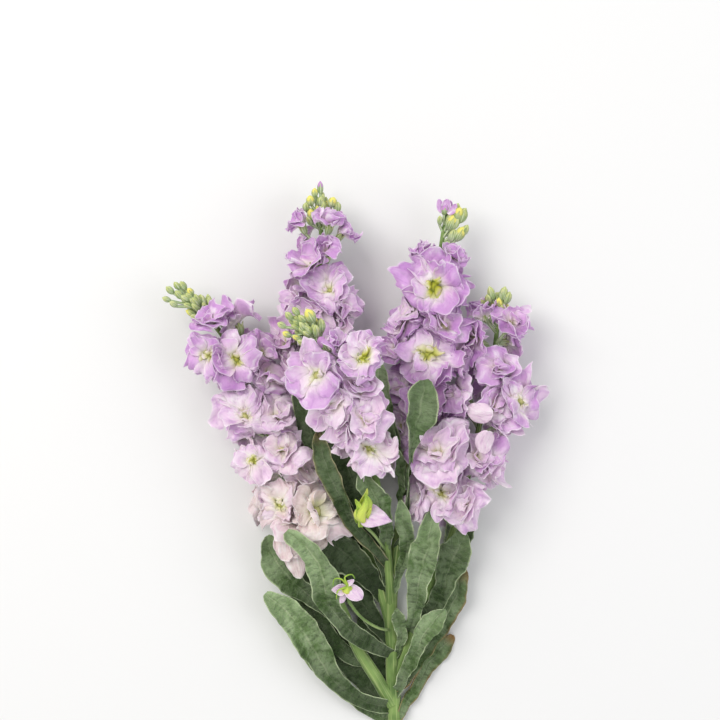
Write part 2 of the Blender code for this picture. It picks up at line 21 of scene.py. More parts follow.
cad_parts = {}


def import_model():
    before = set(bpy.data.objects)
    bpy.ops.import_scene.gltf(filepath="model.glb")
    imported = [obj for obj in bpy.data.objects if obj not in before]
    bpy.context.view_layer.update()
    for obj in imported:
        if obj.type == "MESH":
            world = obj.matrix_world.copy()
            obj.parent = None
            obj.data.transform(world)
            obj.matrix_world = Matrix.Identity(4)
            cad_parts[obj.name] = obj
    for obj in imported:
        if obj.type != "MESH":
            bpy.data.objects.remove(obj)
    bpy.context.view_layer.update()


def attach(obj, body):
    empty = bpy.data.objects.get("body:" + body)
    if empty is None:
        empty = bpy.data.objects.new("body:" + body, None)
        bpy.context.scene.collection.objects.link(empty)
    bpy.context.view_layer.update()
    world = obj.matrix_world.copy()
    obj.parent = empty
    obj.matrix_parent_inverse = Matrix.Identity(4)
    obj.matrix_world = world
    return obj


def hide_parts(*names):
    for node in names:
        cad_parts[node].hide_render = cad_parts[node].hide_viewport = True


log = logging.getLogger("stock_spray")

UP = np.array((0.0, 0.0, 1.0))
GOLDEN_ANGLE = math.radians(137.508)
AXIS_STEPS = 160
# Edges that turn by more than this are drawn sharp
SHARP_EDGE = math.radians(70)
# Wavelength and swing of each wave that crumples petals and leaves, in millimetres
CRUMPLES = ((31, 2.2), (23, 1.8), (17, 1.2), (13, 0.9), (9, 0.55), (7, 0.4))
# Half of the thickness of a petal's blade, and how much thinner it is at the rim, in metres
PETAL_HALF = 0.00018
RIM_THINNING = 0.00007
# Half of the thickness of a leaf at its rib, and how much thinner it is at the margin, in metres
LEAF_HALF = 0.00046
MARGIN_THINNING = 0.00026
# A floret's petals reach this much past the radius that its place gives
SPREAD = 1.22
# How many steps of a branch's axis a floret's stalk and a bud's stalk run back to where they leave it
FLORET_STALK = 7
BUD_STALK = 5
# How much of a branch's end its bud head takes, in metres
HEAD_LENGTH = 0.015
# The lowest place over the floor, and the height over it up to which heights are levelled out, in metres
FLOOR_GAP = 0.0003
FLOOR_KNEE = 0.0017


# Numbers and curves


def mm(values: object) -> np.ndarray:
    """Millimetres to metres, as an array."""
    return np.asarray(values, float) * 0.001


def unit(vectors: object) -> np.ndarray:
    """Each row at length one."""
    vectors = np.asarray(vectors, float)
    return vectors / np.maximum(np.linalg.norm(vectors, axis=-1, keepdims=True), 1e-12)


def smooth(values: object, low: float, high: float) -> np.ndarray:
    """0 below low, 1 above high, and an S-shaped rise between them."""
    t = np.clip((np.asarray(values, float) - low) / (high - low), 0, 1)
    return t * t * (3 - 2 * t)


def travelled(curve: np.ndarray) -> np.ndarray:
    """The length of a curve up to each of its points."""
    return np.linalg.norm(np.diff(curve, axis=0, prepend=curve[:1]), axis=1).cumsum()


def along(curve: np.ndarray, stations: object) -> np.ndarray:
    """The points of a curve at these shares of its length."""
    run = travelled(curve)
    return np.column_stack([np.interp(np.asarray(stations) * run[-1], run, curve[:, k]) for k in range(3)])


def nearest(curve: np.ndarray, place: object) -> int:
    """The number of the curve's point that is nearest to a place, in as many axes as the place has."""
    return int(np.linalg.norm(curve[:, : len(place)] - place, axis=1).argmin())


def curve_through(points: object, steps: int) -> np.ndarray:
    """A Catmull-Rom curve: between two points, a cubic that heads along the line through their neighbours.

    Args:
        points: The points, in metres.
        steps: How many even steps it is cut into.

    Returns:
        Its steps + 1 points.
    """
    p = np.asarray(points, float)
    p = np.vstack([2 * p[0] - p[1], p, 2 * p[-1] - p[-2]])
    t = np.linspace(0, 1, 12, endpoint=False)[:, None]
    spans = [
        0.5 * (2 * b + (c - a) * t + (2 * a - 5 * b + 4 * c - d) * t**2 + (3 * b - a - 3 * c + d) * t**3)
        for a, b, c, d in zip(p[:-3], p[1:-2], p[2:-1], p[3:])
    ]
    return along(np.vstack([*spans, p[-2:-1]]), np.linspace(0, 1, steps + 1))


def directions(curve: np.ndarray) -> np.ndarray:
    """The unit tangent at each point of a curve."""
    return unit(np.gradient(curve, axis=0))


def cross_frame(heading: np.ndarray) -> tuple[np.ndarray, np.ndarray]:
    """Two directions square to each heading, so that first x second = heading."""
    first = unit(np.cross(UP + (0.013, 0.021, 0), heading))
    return first, np.cross(heading, first)


def spokes(heading: np.ndarray, turn: np.ndarray) -> np.ndarray:
    """Unit vectors square to a heading, or to each of several, at these turns round it."""
    first, second = cross_frame(heading)
    return np.cos(turn)[..., None] * first[..., None, :] + np.sin(turn)[..., None] * second[..., None, :]


# Meshes


@dataclass
class Skin:
    """A closed surface: its points, faces of one width each, and its two attributes."""

    points: np.ndarray
    faces: list[np.ndarray]
    paint: np.ndarray
    grain: np.ndarray


def join(skins: list[Skin]) -> Skin:
    """Several skins as one.

    Args:
        skins: The skins, in order.

    Returns:
        One skin of all their points and faces.
    """
    starts = np.cumsum([0] + [len(s.points) for s in skins])
    return Skin(
        np.concatenate([s.points for s in skins]),
        [f + start for s, start in zip(skins, starts) for f in s.faces],
        np.concatenate([s.paint for s in skins]),
        np.concatenate([s.grain for s in skins]),
    )


def sheet_skin(middle: np.ndarray, half: np.ndarray, paint: np.ndarray, grain: np.ndarray) -> Skin:
    """Thin closed blades from grids of points.

    The middle surface is offset both ways along its normal, which is the cross product of its two
    grid directions, and a rim joins the two faces.

    Args:
        middle: Blades x rows x columns x 3.
        half: Half of the thickness at each point, blades x rows x columns.
        paint: Blades x rows x columns x 4.
        grain: Blades x rows x columns x 3.

    Returns:
        The skin of all the blades.
    """
    blades, rows, columns = middle.shape[:3]
    normal = unit(np.cross(np.gradient(middle, axis=2), np.gradient(middle, axis=1)))
    shift = normal * half[..., None]
    size = rows * columns
    grid = np.arange(size).reshape(rows, columns)
    face = np.stack([grid[:-1, :-1], grid[:-1, 1:], grid[1:, 1:], grid[1:, :-1]], -1).reshape(-1, 4)
    loop = np.concatenate([grid[0, :-1], grid[:-1, -1], grid[-1, :0:-1], grid[:0:-1, 0]])
    after = np.roll(loop, -1)
    rim = np.stack([after, loop, loop + size, after + size], -1)
    one = np.concatenate([face, face[:, ::-1] + size, rim])
    faces = (one[None] + np.arange(blades)[:, None, None] * 2 * size).reshape(-1, 4)
    points = np.stack([middle + shift, middle - shift], 1).reshape(-1, 3)
    return Skin(
        points,
        [faces],
        np.repeat(paint[:, None], 2, 1).reshape(-1, 4),
        np.repeat(grain[:, None], 2, 1).reshape(-1, 3),
    )


def ring_skin(rings: np.ndarray, paint: np.ndarray, grain: np.ndarray) -> Skin:
    """Closed round bodies from grids of rings, with a flat fan of facets over each end.

    Args:
        rings: Bodies x rings x sides x 3, each ring turning to the right about its heading.
        paint: Bodies x rings x sides x 4.
        grain: Bodies x rings x sides x 3.

    Returns:
        The skin of all the bodies.
    """
    bodies, count, sides = rings.shape[:3]
    grid = np.arange(count * sides).reshape(count, sides)
    turned = np.roll(grid, -1, axis=1)
    wall = np.stack([grid[:-1], turned[:-1], turned[1:], grid[1:]], -1).reshape(-1, 4)
    k = np.arange(1, sides - 1)
    first = np.stack([np.zeros_like(k), k + 1, k], -1)
    last = np.stack([np.zeros_like(k), k, k + 1], -1) + (count - 1) * sides
    steps = np.arange(bodies)[:, None, None] * count * sides
    walls = (wall[None] + steps).reshape(-1, 4)
    ends = (np.concatenate([first, last])[None] + steps).reshape(-1, 3)
    return Skin(rings.reshape(-1, 3), [walls, ends], paint.reshape(-1, 4), grain.reshape(-1, 3))


def shares(shape: tuple, *values: object) -> np.ndarray:
    """Values, such as four paint shares or a grain's three places, as the last axis of such a grid."""
    return np.stack([np.broadcast_to(np.asarray(v, float), shape) for v in values], -1)


def add_piece(name: str, skin: Skin, finish: "Finish", nodes: tuple[str, ...] = ()) -> None:
    """One finished piece of the spray, made from its skin.

    Args:
        name: The object's name.
        skin: Its surface.
        finish: What it is made of.
        nodes: The CAD nodes that it stands for.
    """
    mesh = bpy.data.meshes.new(name)
    mesh.vertices.add(len(skin.points))
    mesh.vertices.foreach_set("co", skin.points.astype(np.float32).ravel())
    widths = np.concatenate([np.full(len(f), f.shape[1]) for f in skin.faces])
    corners = np.concatenate([f.ravel() for f in skin.faces])
    mesh.loops.add(len(corners))
    mesh.loops.foreach_set("vertex_index", corners.astype(np.int32))
    mesh.polygons.add(len(widths))
    mesh.polygons.foreach_set("loop_start", (np.cumsum(widths) - widths).astype(np.int32))
    mesh.update(calc_edges=True)
    mesh.validate()
    paint = mesh.attributes.new("paint", "FLOAT_COLOR", "POINT")
    paint.data.foreach_set("color", np.clip(skin.paint, 0, 1).astype(np.float32).ravel())
    grain = mesh.attributes.new("grain", "FLOAT_VECTOR", "POINT")
    grain.data.foreach_set("vector", skin.grain.astype(np.float32).ravel())
    mesh.shade_smooth()
    mesh.set_sharp_from_angle(angle=SHARP_EDGE)
    mesh.materials.append(finish.material())
    piece = bpy.data.objects.new(name, mesh)
    bpy.context.scene.collection.objects.link(piece)
    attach(piece, "root")
    if nodes:
        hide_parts(*nodes)
    log.info("%s: %d triangles", name, int((widths - 2).sum()))


# Finishes


def linear(colour: str) -> tuple[float, float, float, float]:
    """A colour as the renderer takes it.

    Args:
        colour: Its sRGB hex value.

    Returns:
        Its linear red, green, blue and alpha.
    """
    parts = [int(colour[i : i + 2], 16) / 255 for i in (1, 3, 5)]
    turned = [p / 12.92 if p <= 0.04045 else ((p + 0.055) / 1.055) ** 2.4 for p in parts]
    return (*turned, 1.0)


def add_node(tree: bpy.types.NodeTree, kind: str, settings: dict, links: dict) -> bpy.types.Node:
    """A shader node.

    Args:
        tree: The material's nodes.
        kind: Its type, without the ShaderNode in front.
        settings: Its properties.
        links: For each input, by name or place, the socket that feeds it, or its value.

    Returns:
        The node.
    """
    node = tree.nodes.new(f"ShaderNode{kind}")
    for key, value in settings.items():
        setattr(node, key, value)
    for key, value in links.items():
        if isinstance(value, bpy.types.NodeSocket):
            tree.links.new(value, node.inputs[key])
        else:
            node.inputs[key].default_value = value
    return node


class Rise(NamedTuple):
    """A smooth rise of a value, from 0 at low to top at high. Low may be above high."""

    value: object
    low: float
    high: float
    top: float = 1.0

    def socket(self, tree: bpy.types.NodeTree) -> bpy.types.NodeSocket:
        """The socket of the risen value.

        Args:
            tree: The material's nodes.

        Returns:
            The socket.
        """
        ends = (self.low, self.high, 0.0, self.top)
        if self.low > self.high:
            ends = (self.high, self.low, self.top, 0.0)
        names = ("Value", "From Min", "From Max", "To Min", "To Max")
        links = dict(zip(names, (resolved(tree, self.value), *ends)))
        return add_node(tree, "MapRange", {"interpolation_type": "SMOOTHSTEP"}, links).outputs["Result"]


def resolved(tree: bpy.types.NodeTree, value: object) -> object:
    """The socket of a Rise, and a socket or number as it is."""
    return value.socket(tree) if isinstance(value, Rise) else value


def layered(tree: bpy.types.NodeTree, ground: object, *layers: tuple) -> bpy.types.NodeSocket:
    """Colours laid over one another.

    A layer covers what is beneath it by the product of its factors.

    Args:
        tree: The material's nodes.
        ground: The lowest colour, as a hex value or a socket.
        layers: For each layer its colour, and then its factors: sockets, numbers or rises.

    Returns:
        The socket of the colour that is seen.
    """
    seen = linear(ground) if isinstance(ground, str) else ground
    for colour, *factors in layers:
        share = resolved(tree, factors[0])
        for factor in factors[1:]:
            links = {0: share, 1: resolved(tree, factor)}
            share = add_node(tree, "Math", {"operation": "MULTIPLY"}, links).outputs[0]
        over = linear(colour) if isinstance(colour, str) else colour
        seen = add_node(tree, "Mix", {"data_type": "RGBA"}, {0: share, 6: seen, 7: over}).outputs[2]
    return seen


def summed(tree: bpy.types.NodeTree, *terms: tuple) -> bpy.types.NodeSocket:
    """A sum of values, each with its weight.

    Args:
        tree: The material's nodes.
        terms: Each value, as a socket or a rise, and its weight.

    Returns:
        The socket of the sum.
    """
    total = 0.0
    for value, weight in terms:
        links = {0: resolved(tree, value), 1: weight, 2: total}
        total = add_node(tree, "Math", {"operation": "MULTIPLY_ADD"}, links).outputs[0]
    return total


class Paint(NamedTuple):
    """The sockets of the two attributes."""

    first: object
    second: object
    third: object
    fourth: object
    grain: object


def read_paint(tree: bpy.types.NodeTree) -> Paint:
    """The four shares and the place in the tissue.

    Args:
        tree: The material's nodes.

    Returns:
        Their sockets.
    """
    shares_node = add_node(tree, "Attribute", {"attribute_name": "paint"}, {})
    parts = add_node(tree, "SeparateColor", {}, {"Color": shares_node.outputs["Color"]}).outputs
    place = add_node(tree, "Attribute", {"attribute_name": "grain"}, {}).outputs["Vector"]
    return Paint(parts[0], parts[1], parts[2], shares_node.outputs["Alpha"], place)


def patches(
    tree: bpy.types.NodeTree, place: object, size: tuple, detail: float = 2.0
) -> bpy.types.NodeSocket:
    """Cloudy patches of values between 0 and 1.

    Args:
        tree: The material's nodes.
        place: The socket of the place in the tissue.
        size: About how long a patch is along each axis, in millimetres.
        detail: How many finer steps break up its edge.

    Returns:
        The socket of the value.
    """
    scale = {"Vector": place, "Scale": tuple(1000 / s for s in size)}
    scaled = add_node(tree, "Mapping", {"vector_type": "POINT"}, scale).outputs[0]
    links = {"Vector": scaled, "Scale": 1.0, "Detail": detail, "Roughness": 0.55}
    return add_node(tree, "TexNoise", {"noise_dimensions": "3D"}, links).outputs[0]


@dataclass(frozen=True)
class Finish:
    """A kind of plant tissue. Its material is made once and shared."""

    name: str

    def material(self) -> bpy.types.Material:
        """The material, with its nodes.

        Returns:
            The one that is already there, or else a new one.
        """
        made = bpy.data.materials.get(self.name)
        if made is None:
            made = bpy.data.materials.new(self.name)
            made.use_nodes = True
            self.dress(made.node_tree, made.node_tree.nodes["Principled BSDF"])
        return made

    def dress(self, tree: bpy.types.NodeTree, shader: bpy.types.Node) -> None:
        """The nodes that give the tissue its look."""

    def settle(
        self,
        tree: bpy.types.NodeTree,
        shader: bpy.types.Node,
        colour: object,
        height: object,
        depth: float,
        values: dict,
    ) -> None:
        """The shader's colour, relief and plain values.

        Args:
            tree: The material's nodes.
            shader: Its surface shader.
            colour: The socket of its colour.
            height: The socket of its relief.
            depth: The relief's depth, in metres.
            values: Plain values for the shader's other inputs.
        """
        relief = add_node(tree, "Bump", {}, {"Height": height, "Strength": 0.6, "Distance": depth})
        tree.links.new(colour, shader.inputs["Base Color"])
        tree.links.new(relief.outputs[0], shader.inputs["Normal"])
        for key, value in values.items():
            shader.inputs[key].default_value = value


@dataclass(frozen=True)
class PetalFinish(Finish):
    """Fresh petal tissue, grown as a thin wet film of cells: soft, matt, with light passing through it.

    Paint holds the share from claw to rim, the floret's age, the nearness of the margin, and how far the
    claw takes the green of the floret's eye.
    """

    young: str = "#D8A9DD"
    full: str = "#ECCFE8"
    old: str = "#F1DDDA"
    # Shade is the deeper lilac of a young rim, and in folds it is also painted shade
    shade: str = "#AC78BA"
    faded: str = "#C7A9A8"
    # Margin is the pale rim, and on wrinkle ridges also a painted highlight
    margin: str = "#FDF6FA"
    claw: str = "#BDBE30"
    pit: str = "#59641A"
    heart: str = "#FBF5EA"

    def dress(self, tree: bpy.types.NodeTree, shader: bpy.types.Node) -> None:
        """Colour from age, depth and margin, veins that fan out from the claw, and painted shade and
        highlight on wrinkles.

        Args:
            tree: The material's nodes.
            shader: Its surface shader.
        """
        paint = read_paint(tree)
        # Petal cells give soft cloudy patches of 3 to 6 mm
        clouds = patches(tree, paint.grain, (4.0, 6.0, 4.0))
        # Real veins are 0.3 mm apart, drawn at 0.8 mm so that they show
        veins = patches(tree, paint.grain, (0.8, 14.0, 5.0), 1.0)
        # Crowded petals open with long wrinkles 2 to 3 mm apart. They give the relief, and in colour painted
        # shade in the folds and a painted highlight on the ridges
        wrinkles = patches(tree, paint.grain, (2.6, 9.0, 5.0), 3.0)
        aged = Rise(paint.second, 0.15, 0.55)
        # The mauve of the veins and cloudy patches, and the painted shade in the wrinkles' folds. Old florets
        # lose their lilac, and it fades to a greyish pink
        fold = layered(tree, self.shade, (self.faded, Rise(paint.second, 0.6, 0.95)))
        body = layered(
            tree,
            self.young,
            (self.full, aged),
            (self.old, Rise(paint.second, 0.6, 1.0)),
            (fold, Rise(clouds, 0.5, 0.85, 0.45)),
            (self.margin, Rise(clouds, 0.5, 0.2, 0.4)),
            (fold, Rise(veins, 0.52, 0.75, 0.3)),
            # Painted shade in the folds of the wrinkles, and a painted highlight on their ridges
            (fold, Rise(wrinkles, 0.48, 0.30, 0.55)),
            (self.margin, Rise(wrinkles, 0.52, 0.70, 0.6)),
            # Towards the rim the lilac of a young petal deepens, and the rim itself is a thin pale line
            (self.shade, Rise(paint.first, 0.45, 0.95, 0.5), Rise(aged, 1.4, 0.0)),
            (self.margin, Rise(paint.third, 0.65, 1.0, 0.5)),
            (self.heart, Rise(paint.first, 0.60, 0.12, 0.75)),
            (self.claw, Rise(paint.first, 0.34, 0.12), paint.fourth),
            (self.pit, Rise(paint.first, 0.19, 0.05, 0.95), paint.fourth),
        )
        height = summed(tree, (veins, 0.25), (wrinkles, 1.0))
        values = {
            "Roughness": 0.55,
            "Specular IOR Level": 0.25,
            "Sheen Weight": 0.12,
            "Sheen Roughness": 0.5,
            "Subsurface Weight": 0.35,
            "Subsurface Radius": (1.0, 0.75, 1.0),
            "Subsurface Scale": 0.002,
        }
        self.settle(tree, shader, body, height, 0.0018, values)


@dataclass(frozen=True)
class LeafFinish(Finish):
    """A grown leaf blade under a felt of branched white hairs: matt grey-green, paler on ribs and margins.

    Paint holds the share from rib to margin, the share from stalk to tip, how brown it has dried, and
    how dark it is painted: partly its own darker green and partly painted shade where it lies under others.
    """

    fresh: str = "#5C7942"
    # Grey is the felted grey-green, and on pucker ridges also a painted highlight
    grey: str = "#9CB186"
    # Deep is the dark of the felt, and also painted shade in pucker valleys and under other leaves
    deep: str = "#14240D"
    rib: str = "#C3D0A8"
    dry: str = "#8A6238"

    def dress(self, tree: bpy.types.NodeTree, shader: bpy.types.Node) -> None:
        """Green with a felted bloom, a pale midrib, side veins 6 mm apart and a thin pale margin.

        Args:
            tree: The material's nodes.
            shader: Its surface shader.
        """
        paint = read_paint(tree)
        blotches = patches(tree, paint.grain, (7.0, 14.0, 7.0), 3.0)
        felt = patches(tree, paint.grain, (0.8, 1.2, 0.8), 3.0)
        # The blade puckers in ridges about 4 mm apart that run out from the rib. They give the relief, and
        # in colour painted shade in their valleys and a painted highlight on their ridges
        puckers = patches(tree, paint.grain, (5.0, 2.6, 4.0), 2.0)
        # Side veins leave the midrib at 45 degrees, 6 mm apart, and wander a little
        across, down = add_node(tree, "SeparateXYZ", {}, {"Vector": paint.grain}).outputs[:2]
        beside = add_node(tree, "Math", {"operation": "ABSOLUTE"}, {0: across}).outputs[0]
        pitch = 2 * math.pi / 0.006
        turn = summed(tree, (down, pitch), (beside, -pitch), (blotches, 11.0))
        veins = Rise(add_node(tree, "Math", {"operation": "COSINE"}, {0: turn}).outputs[0], 0.8, 1.0)
        rib = Rise(paint.first, 0.10, 0.02)
        body = layered(
            tree,
            self.fresh,
            (self.grey, Rise(blotches, 0.35, 0.65)),
            # Painted shade in the pucker valleys and a painted highlight on their ridges
            (self.deep, Rise(puckers, 0.52, 0.30, 0.50)),
            (self.grey, Rise(puckers, 0.50, 0.70, 0.5)),
            (self.grey, Rise(felt, 0.5, 0.8, 0.3)),
            (self.deep, Rise(felt, 0.5, 0.2, 0.3)),
            (self.grey, Rise(paint.second, 0.55, 1.0, 0.45)),
            (self.rib, veins, Rise(felt, 0.35, 0.6, 0.12)),
            (self.rib, rib, Rise(blotches, 0.3, 0.65, 0.5)),
            # How dark the leaf is painted: partly its own darker green, partly painted shade under other
            # leaves
            (self.deep, paint.fourth, 0.9),
            # The hem of the blade is pale, and it dries brown in patches
            (self.rib, Rise(paint.first, 0.90, 1.0), Rise(blotches, 0.3, 0.6, 0.85)),
            (self.dry, paint.third, Rise(blotches, 0.25, 0.6)),
        )
        height = summed(tree, (veins, -0.2), (rib, 0.3), (felt, 0.25), (puckers, 1.6))
        values = {
            "Roughness": 0.72,
            "Specular IOR Level": 0.2,
            "Sheen Weight": 0.25,
            "Sheen Roughness": 0.45,
            "Sheen Tint": linear("#DDE8D0"),
            "Subsurface Weight": 0.08,
            "Subsurface Radius": (0.4, 1.0, 0.2),
            "Subsurface Scale": 0.001,
        }
        self.settle(tree, shader, body, height, 0.0018, values)


@dataclass(frozen=True)
class StemFinish(Finish):
    """The green rind of a juicy stem, grown in long fibres, with a soft bloom of hairs.

    Paint holds the share from pith to rind at a cut end, the share from root to tip, and 1 where it is
    cut.
    """

    rind: str = "#809C56"
    pale: str = "#B7C785"
    deep: str = "#4F6C34"
    pith: str = "#E4E8C4"

    def dress(self, tree: bpy.types.NodeTree, shader: bpy.types.Node) -> None:
        """Long streaks 1 mm wide along the stem, and a pale wet pith at the cut.

        Args:
            tree: The material's nodes.
            shader: Its surface shader.
        """
        paint = read_paint(tree)
        streaks = patches(tree, paint.grain, (1.1, 1.1, 40.0), 2.0)
        clouds = patches(tree, paint.grain, (9.0, 9.0, 16.0))
        cut = layered(tree, self.pith, (self.pale, Rise(paint.first, 0.75, 0.95)))
        body = layered(
            tree,
            self.rind,
            (self.deep, Rise(clouds, 0.3, 0.7)),
            (self.pale, Rise(streaks, 0.48, 0.75, 0.75)),
            (cut, paint.third),
        )
        values = {
            "Roughness": 0.55,
            "Specular IOR Level": 0.3,
            "Sheen Weight": 0.15,
            "Subsurface Weight": 0.1,
            "Subsurface Radius": (0.6, 1.0, 0.3),
            "Subsurface Scale": 0.001,
        }
        self.settle(tree, shader, body, streaks, 0.0003, values)


@dataclass(frozen=True)
class SepalFinish(Finish):
    """Sepals and buds: thin green tissue under short grey hairs, yellow where a petal tip breaks out.

    Paint holds the share from stalk to tip, how yellow and how lilac the tip is, and how dark it is,
    which inside cups and in grooves is painted shade.
    """

    green: str = "#88A366"
    grey: str = "#CEDAB4"
    deep: str = "#3E5A2C"
    yellow: str = "#E9E277"
    lilac: str = "#C793CB"

    def dress(self, tree: bpy.types.NodeTree, shader: bpy.types.Node) -> None:
        """Green with pale ribs along each sepal, turning yellow or lilac towards the tip.

        Args:
            tree: The material's nodes.
            shader: Its surface shader.
        """
        paint = read_paint(tree)
        streaks = patches(tree, paint.grain, (0.6, 0.6, 9.0), 2.0)
        tip = Rise(paint.first, 0.35, 0.85)
        body = layered(
            tree,
            self.green,
            (self.grey, Rise(streaks, 0.38, 0.65)),
            # Darker by the fourth share, which inside cups and in grooves is painted shade
            (self.deep, paint.fourth, 0.7),
            (self.yellow, tip, paint.second),
            (self.lilac, tip, paint.third),
        )
        values = {
            "Roughness": 0.6,
            "Specular IOR Level": 0.25,
            "Sheen Weight": 0.2,
            "Subsurface Weight": 0.15,
            "Subsurface Radius": (0.8, 1.0, 0.3),
            "Subsurface Scale": 0.001,
        }
        self.settle(tree, shader, body, streaks, 0.0002, values)


PETAL = PetalFinish("fresh_petal_tissue")
BLADE = LeafFinish("felted_leaf_blade")
RIND = StemFinish("green_stem_rind")
SEPAL = SepalFinish("green_sepal_tissue")
# Sepals in full light grow lime green
LIME = SepalFinish("lime_sepal_tissue", "#7FA838", "#B4CF4C", "#365A16", "#D3DC66", "#C793CB")


# Florets


class Whorl(NamedTuple):
    """A ring of petals.

    Length and half width are shares of the floret's radius, the lift is in degrees above the floret's
    plane at the claw and at the rim, and rows and columns are its grid.
    """

    petals: int
    length: float
    half_width: float
    claw_lift: float
    rim_lift: float
    rows: int
    columns: int


class Opening(Enum):
    """How far a floret has opened, which sets its whorls from the outermost in.

    A hidden one is open too, with fewer petals, because it faces down or sideways.
    """

    FULL = (
        Whorl(6, 1.24, 0.60, 52, -14, 10, 17),
        Whorl(5, 1.04, 0.50, 60, 4, 9, 15),
        Whorl(4, 0.82, 0.42, 70, 26, 8, 15),
        Whorl(3, 0.52, 0.28, 80, 52, 6, 9),
    )
    EYED = (
        Whorl(6, 1.20, 0.60, 48, -16, 10, 17),
        Whorl(5, 1.02, 0.50, 52, -8, 9, 15),
        Whorl(3, 0.80, 0.34, 54, 0, 8, 13),
        Whorl(7, 0.50, 0.15, 70, -40, 9, 5),
        Whorl(5, 0.30, 0.12, 82, 10, 8, 5),
    )
    HALF = (
        Whorl(5, 1.32, 0.68, 62, 0, 9, 15),
        Whorl(4, 0.98, 0.54, 74, 30, 8, 13),
        Whorl(3, 0.62, 0.32, 82, 58, 6, 9),
    )
    YOUNG = (
        Whorl(5, 1.26, 0.54, 80, 34, 8, 13),
        Whorl(3, 1.04, 0.50, 84, 60, 7, 9),
        Whorl(3, 0.72, 0.30, 88, 80, 5, 7),
    )
    HIDDEN = (
        Whorl(5, 1.32, 0.68, 58, -8, 8, 13),
        Whorl(4, 1.00, 0.54, 72, 22, 7, 11),
        Whorl(3, 0.62, 0.32, 84, 60, 5, 7),
    )


def crumpled(points: np.ndarray) -> np.ndarray:
    """Points moved by a soft field that crumples petals and is the same all over the spray.

    The shift is a sum of sine waves. Each swings square to its own run, and shorter waves swing less.

    Args:
        points: The points, in metres.

    Returns:
        The points in their new places.
    """
    rng = np.random.default_rng(23)
    for wavelength, swing in CRUMPLES:
        run = unit(rng.normal(size=3))
        sideways = unit(np.cross(run, rng.normal(size=3)))
        phase = 2 * math.pi * (points @ run) / mm(wavelength) + rng.uniform(0, 6.3)
        points = points + sideways * mm(swing) * np.sin(phase)[..., None]
    return points


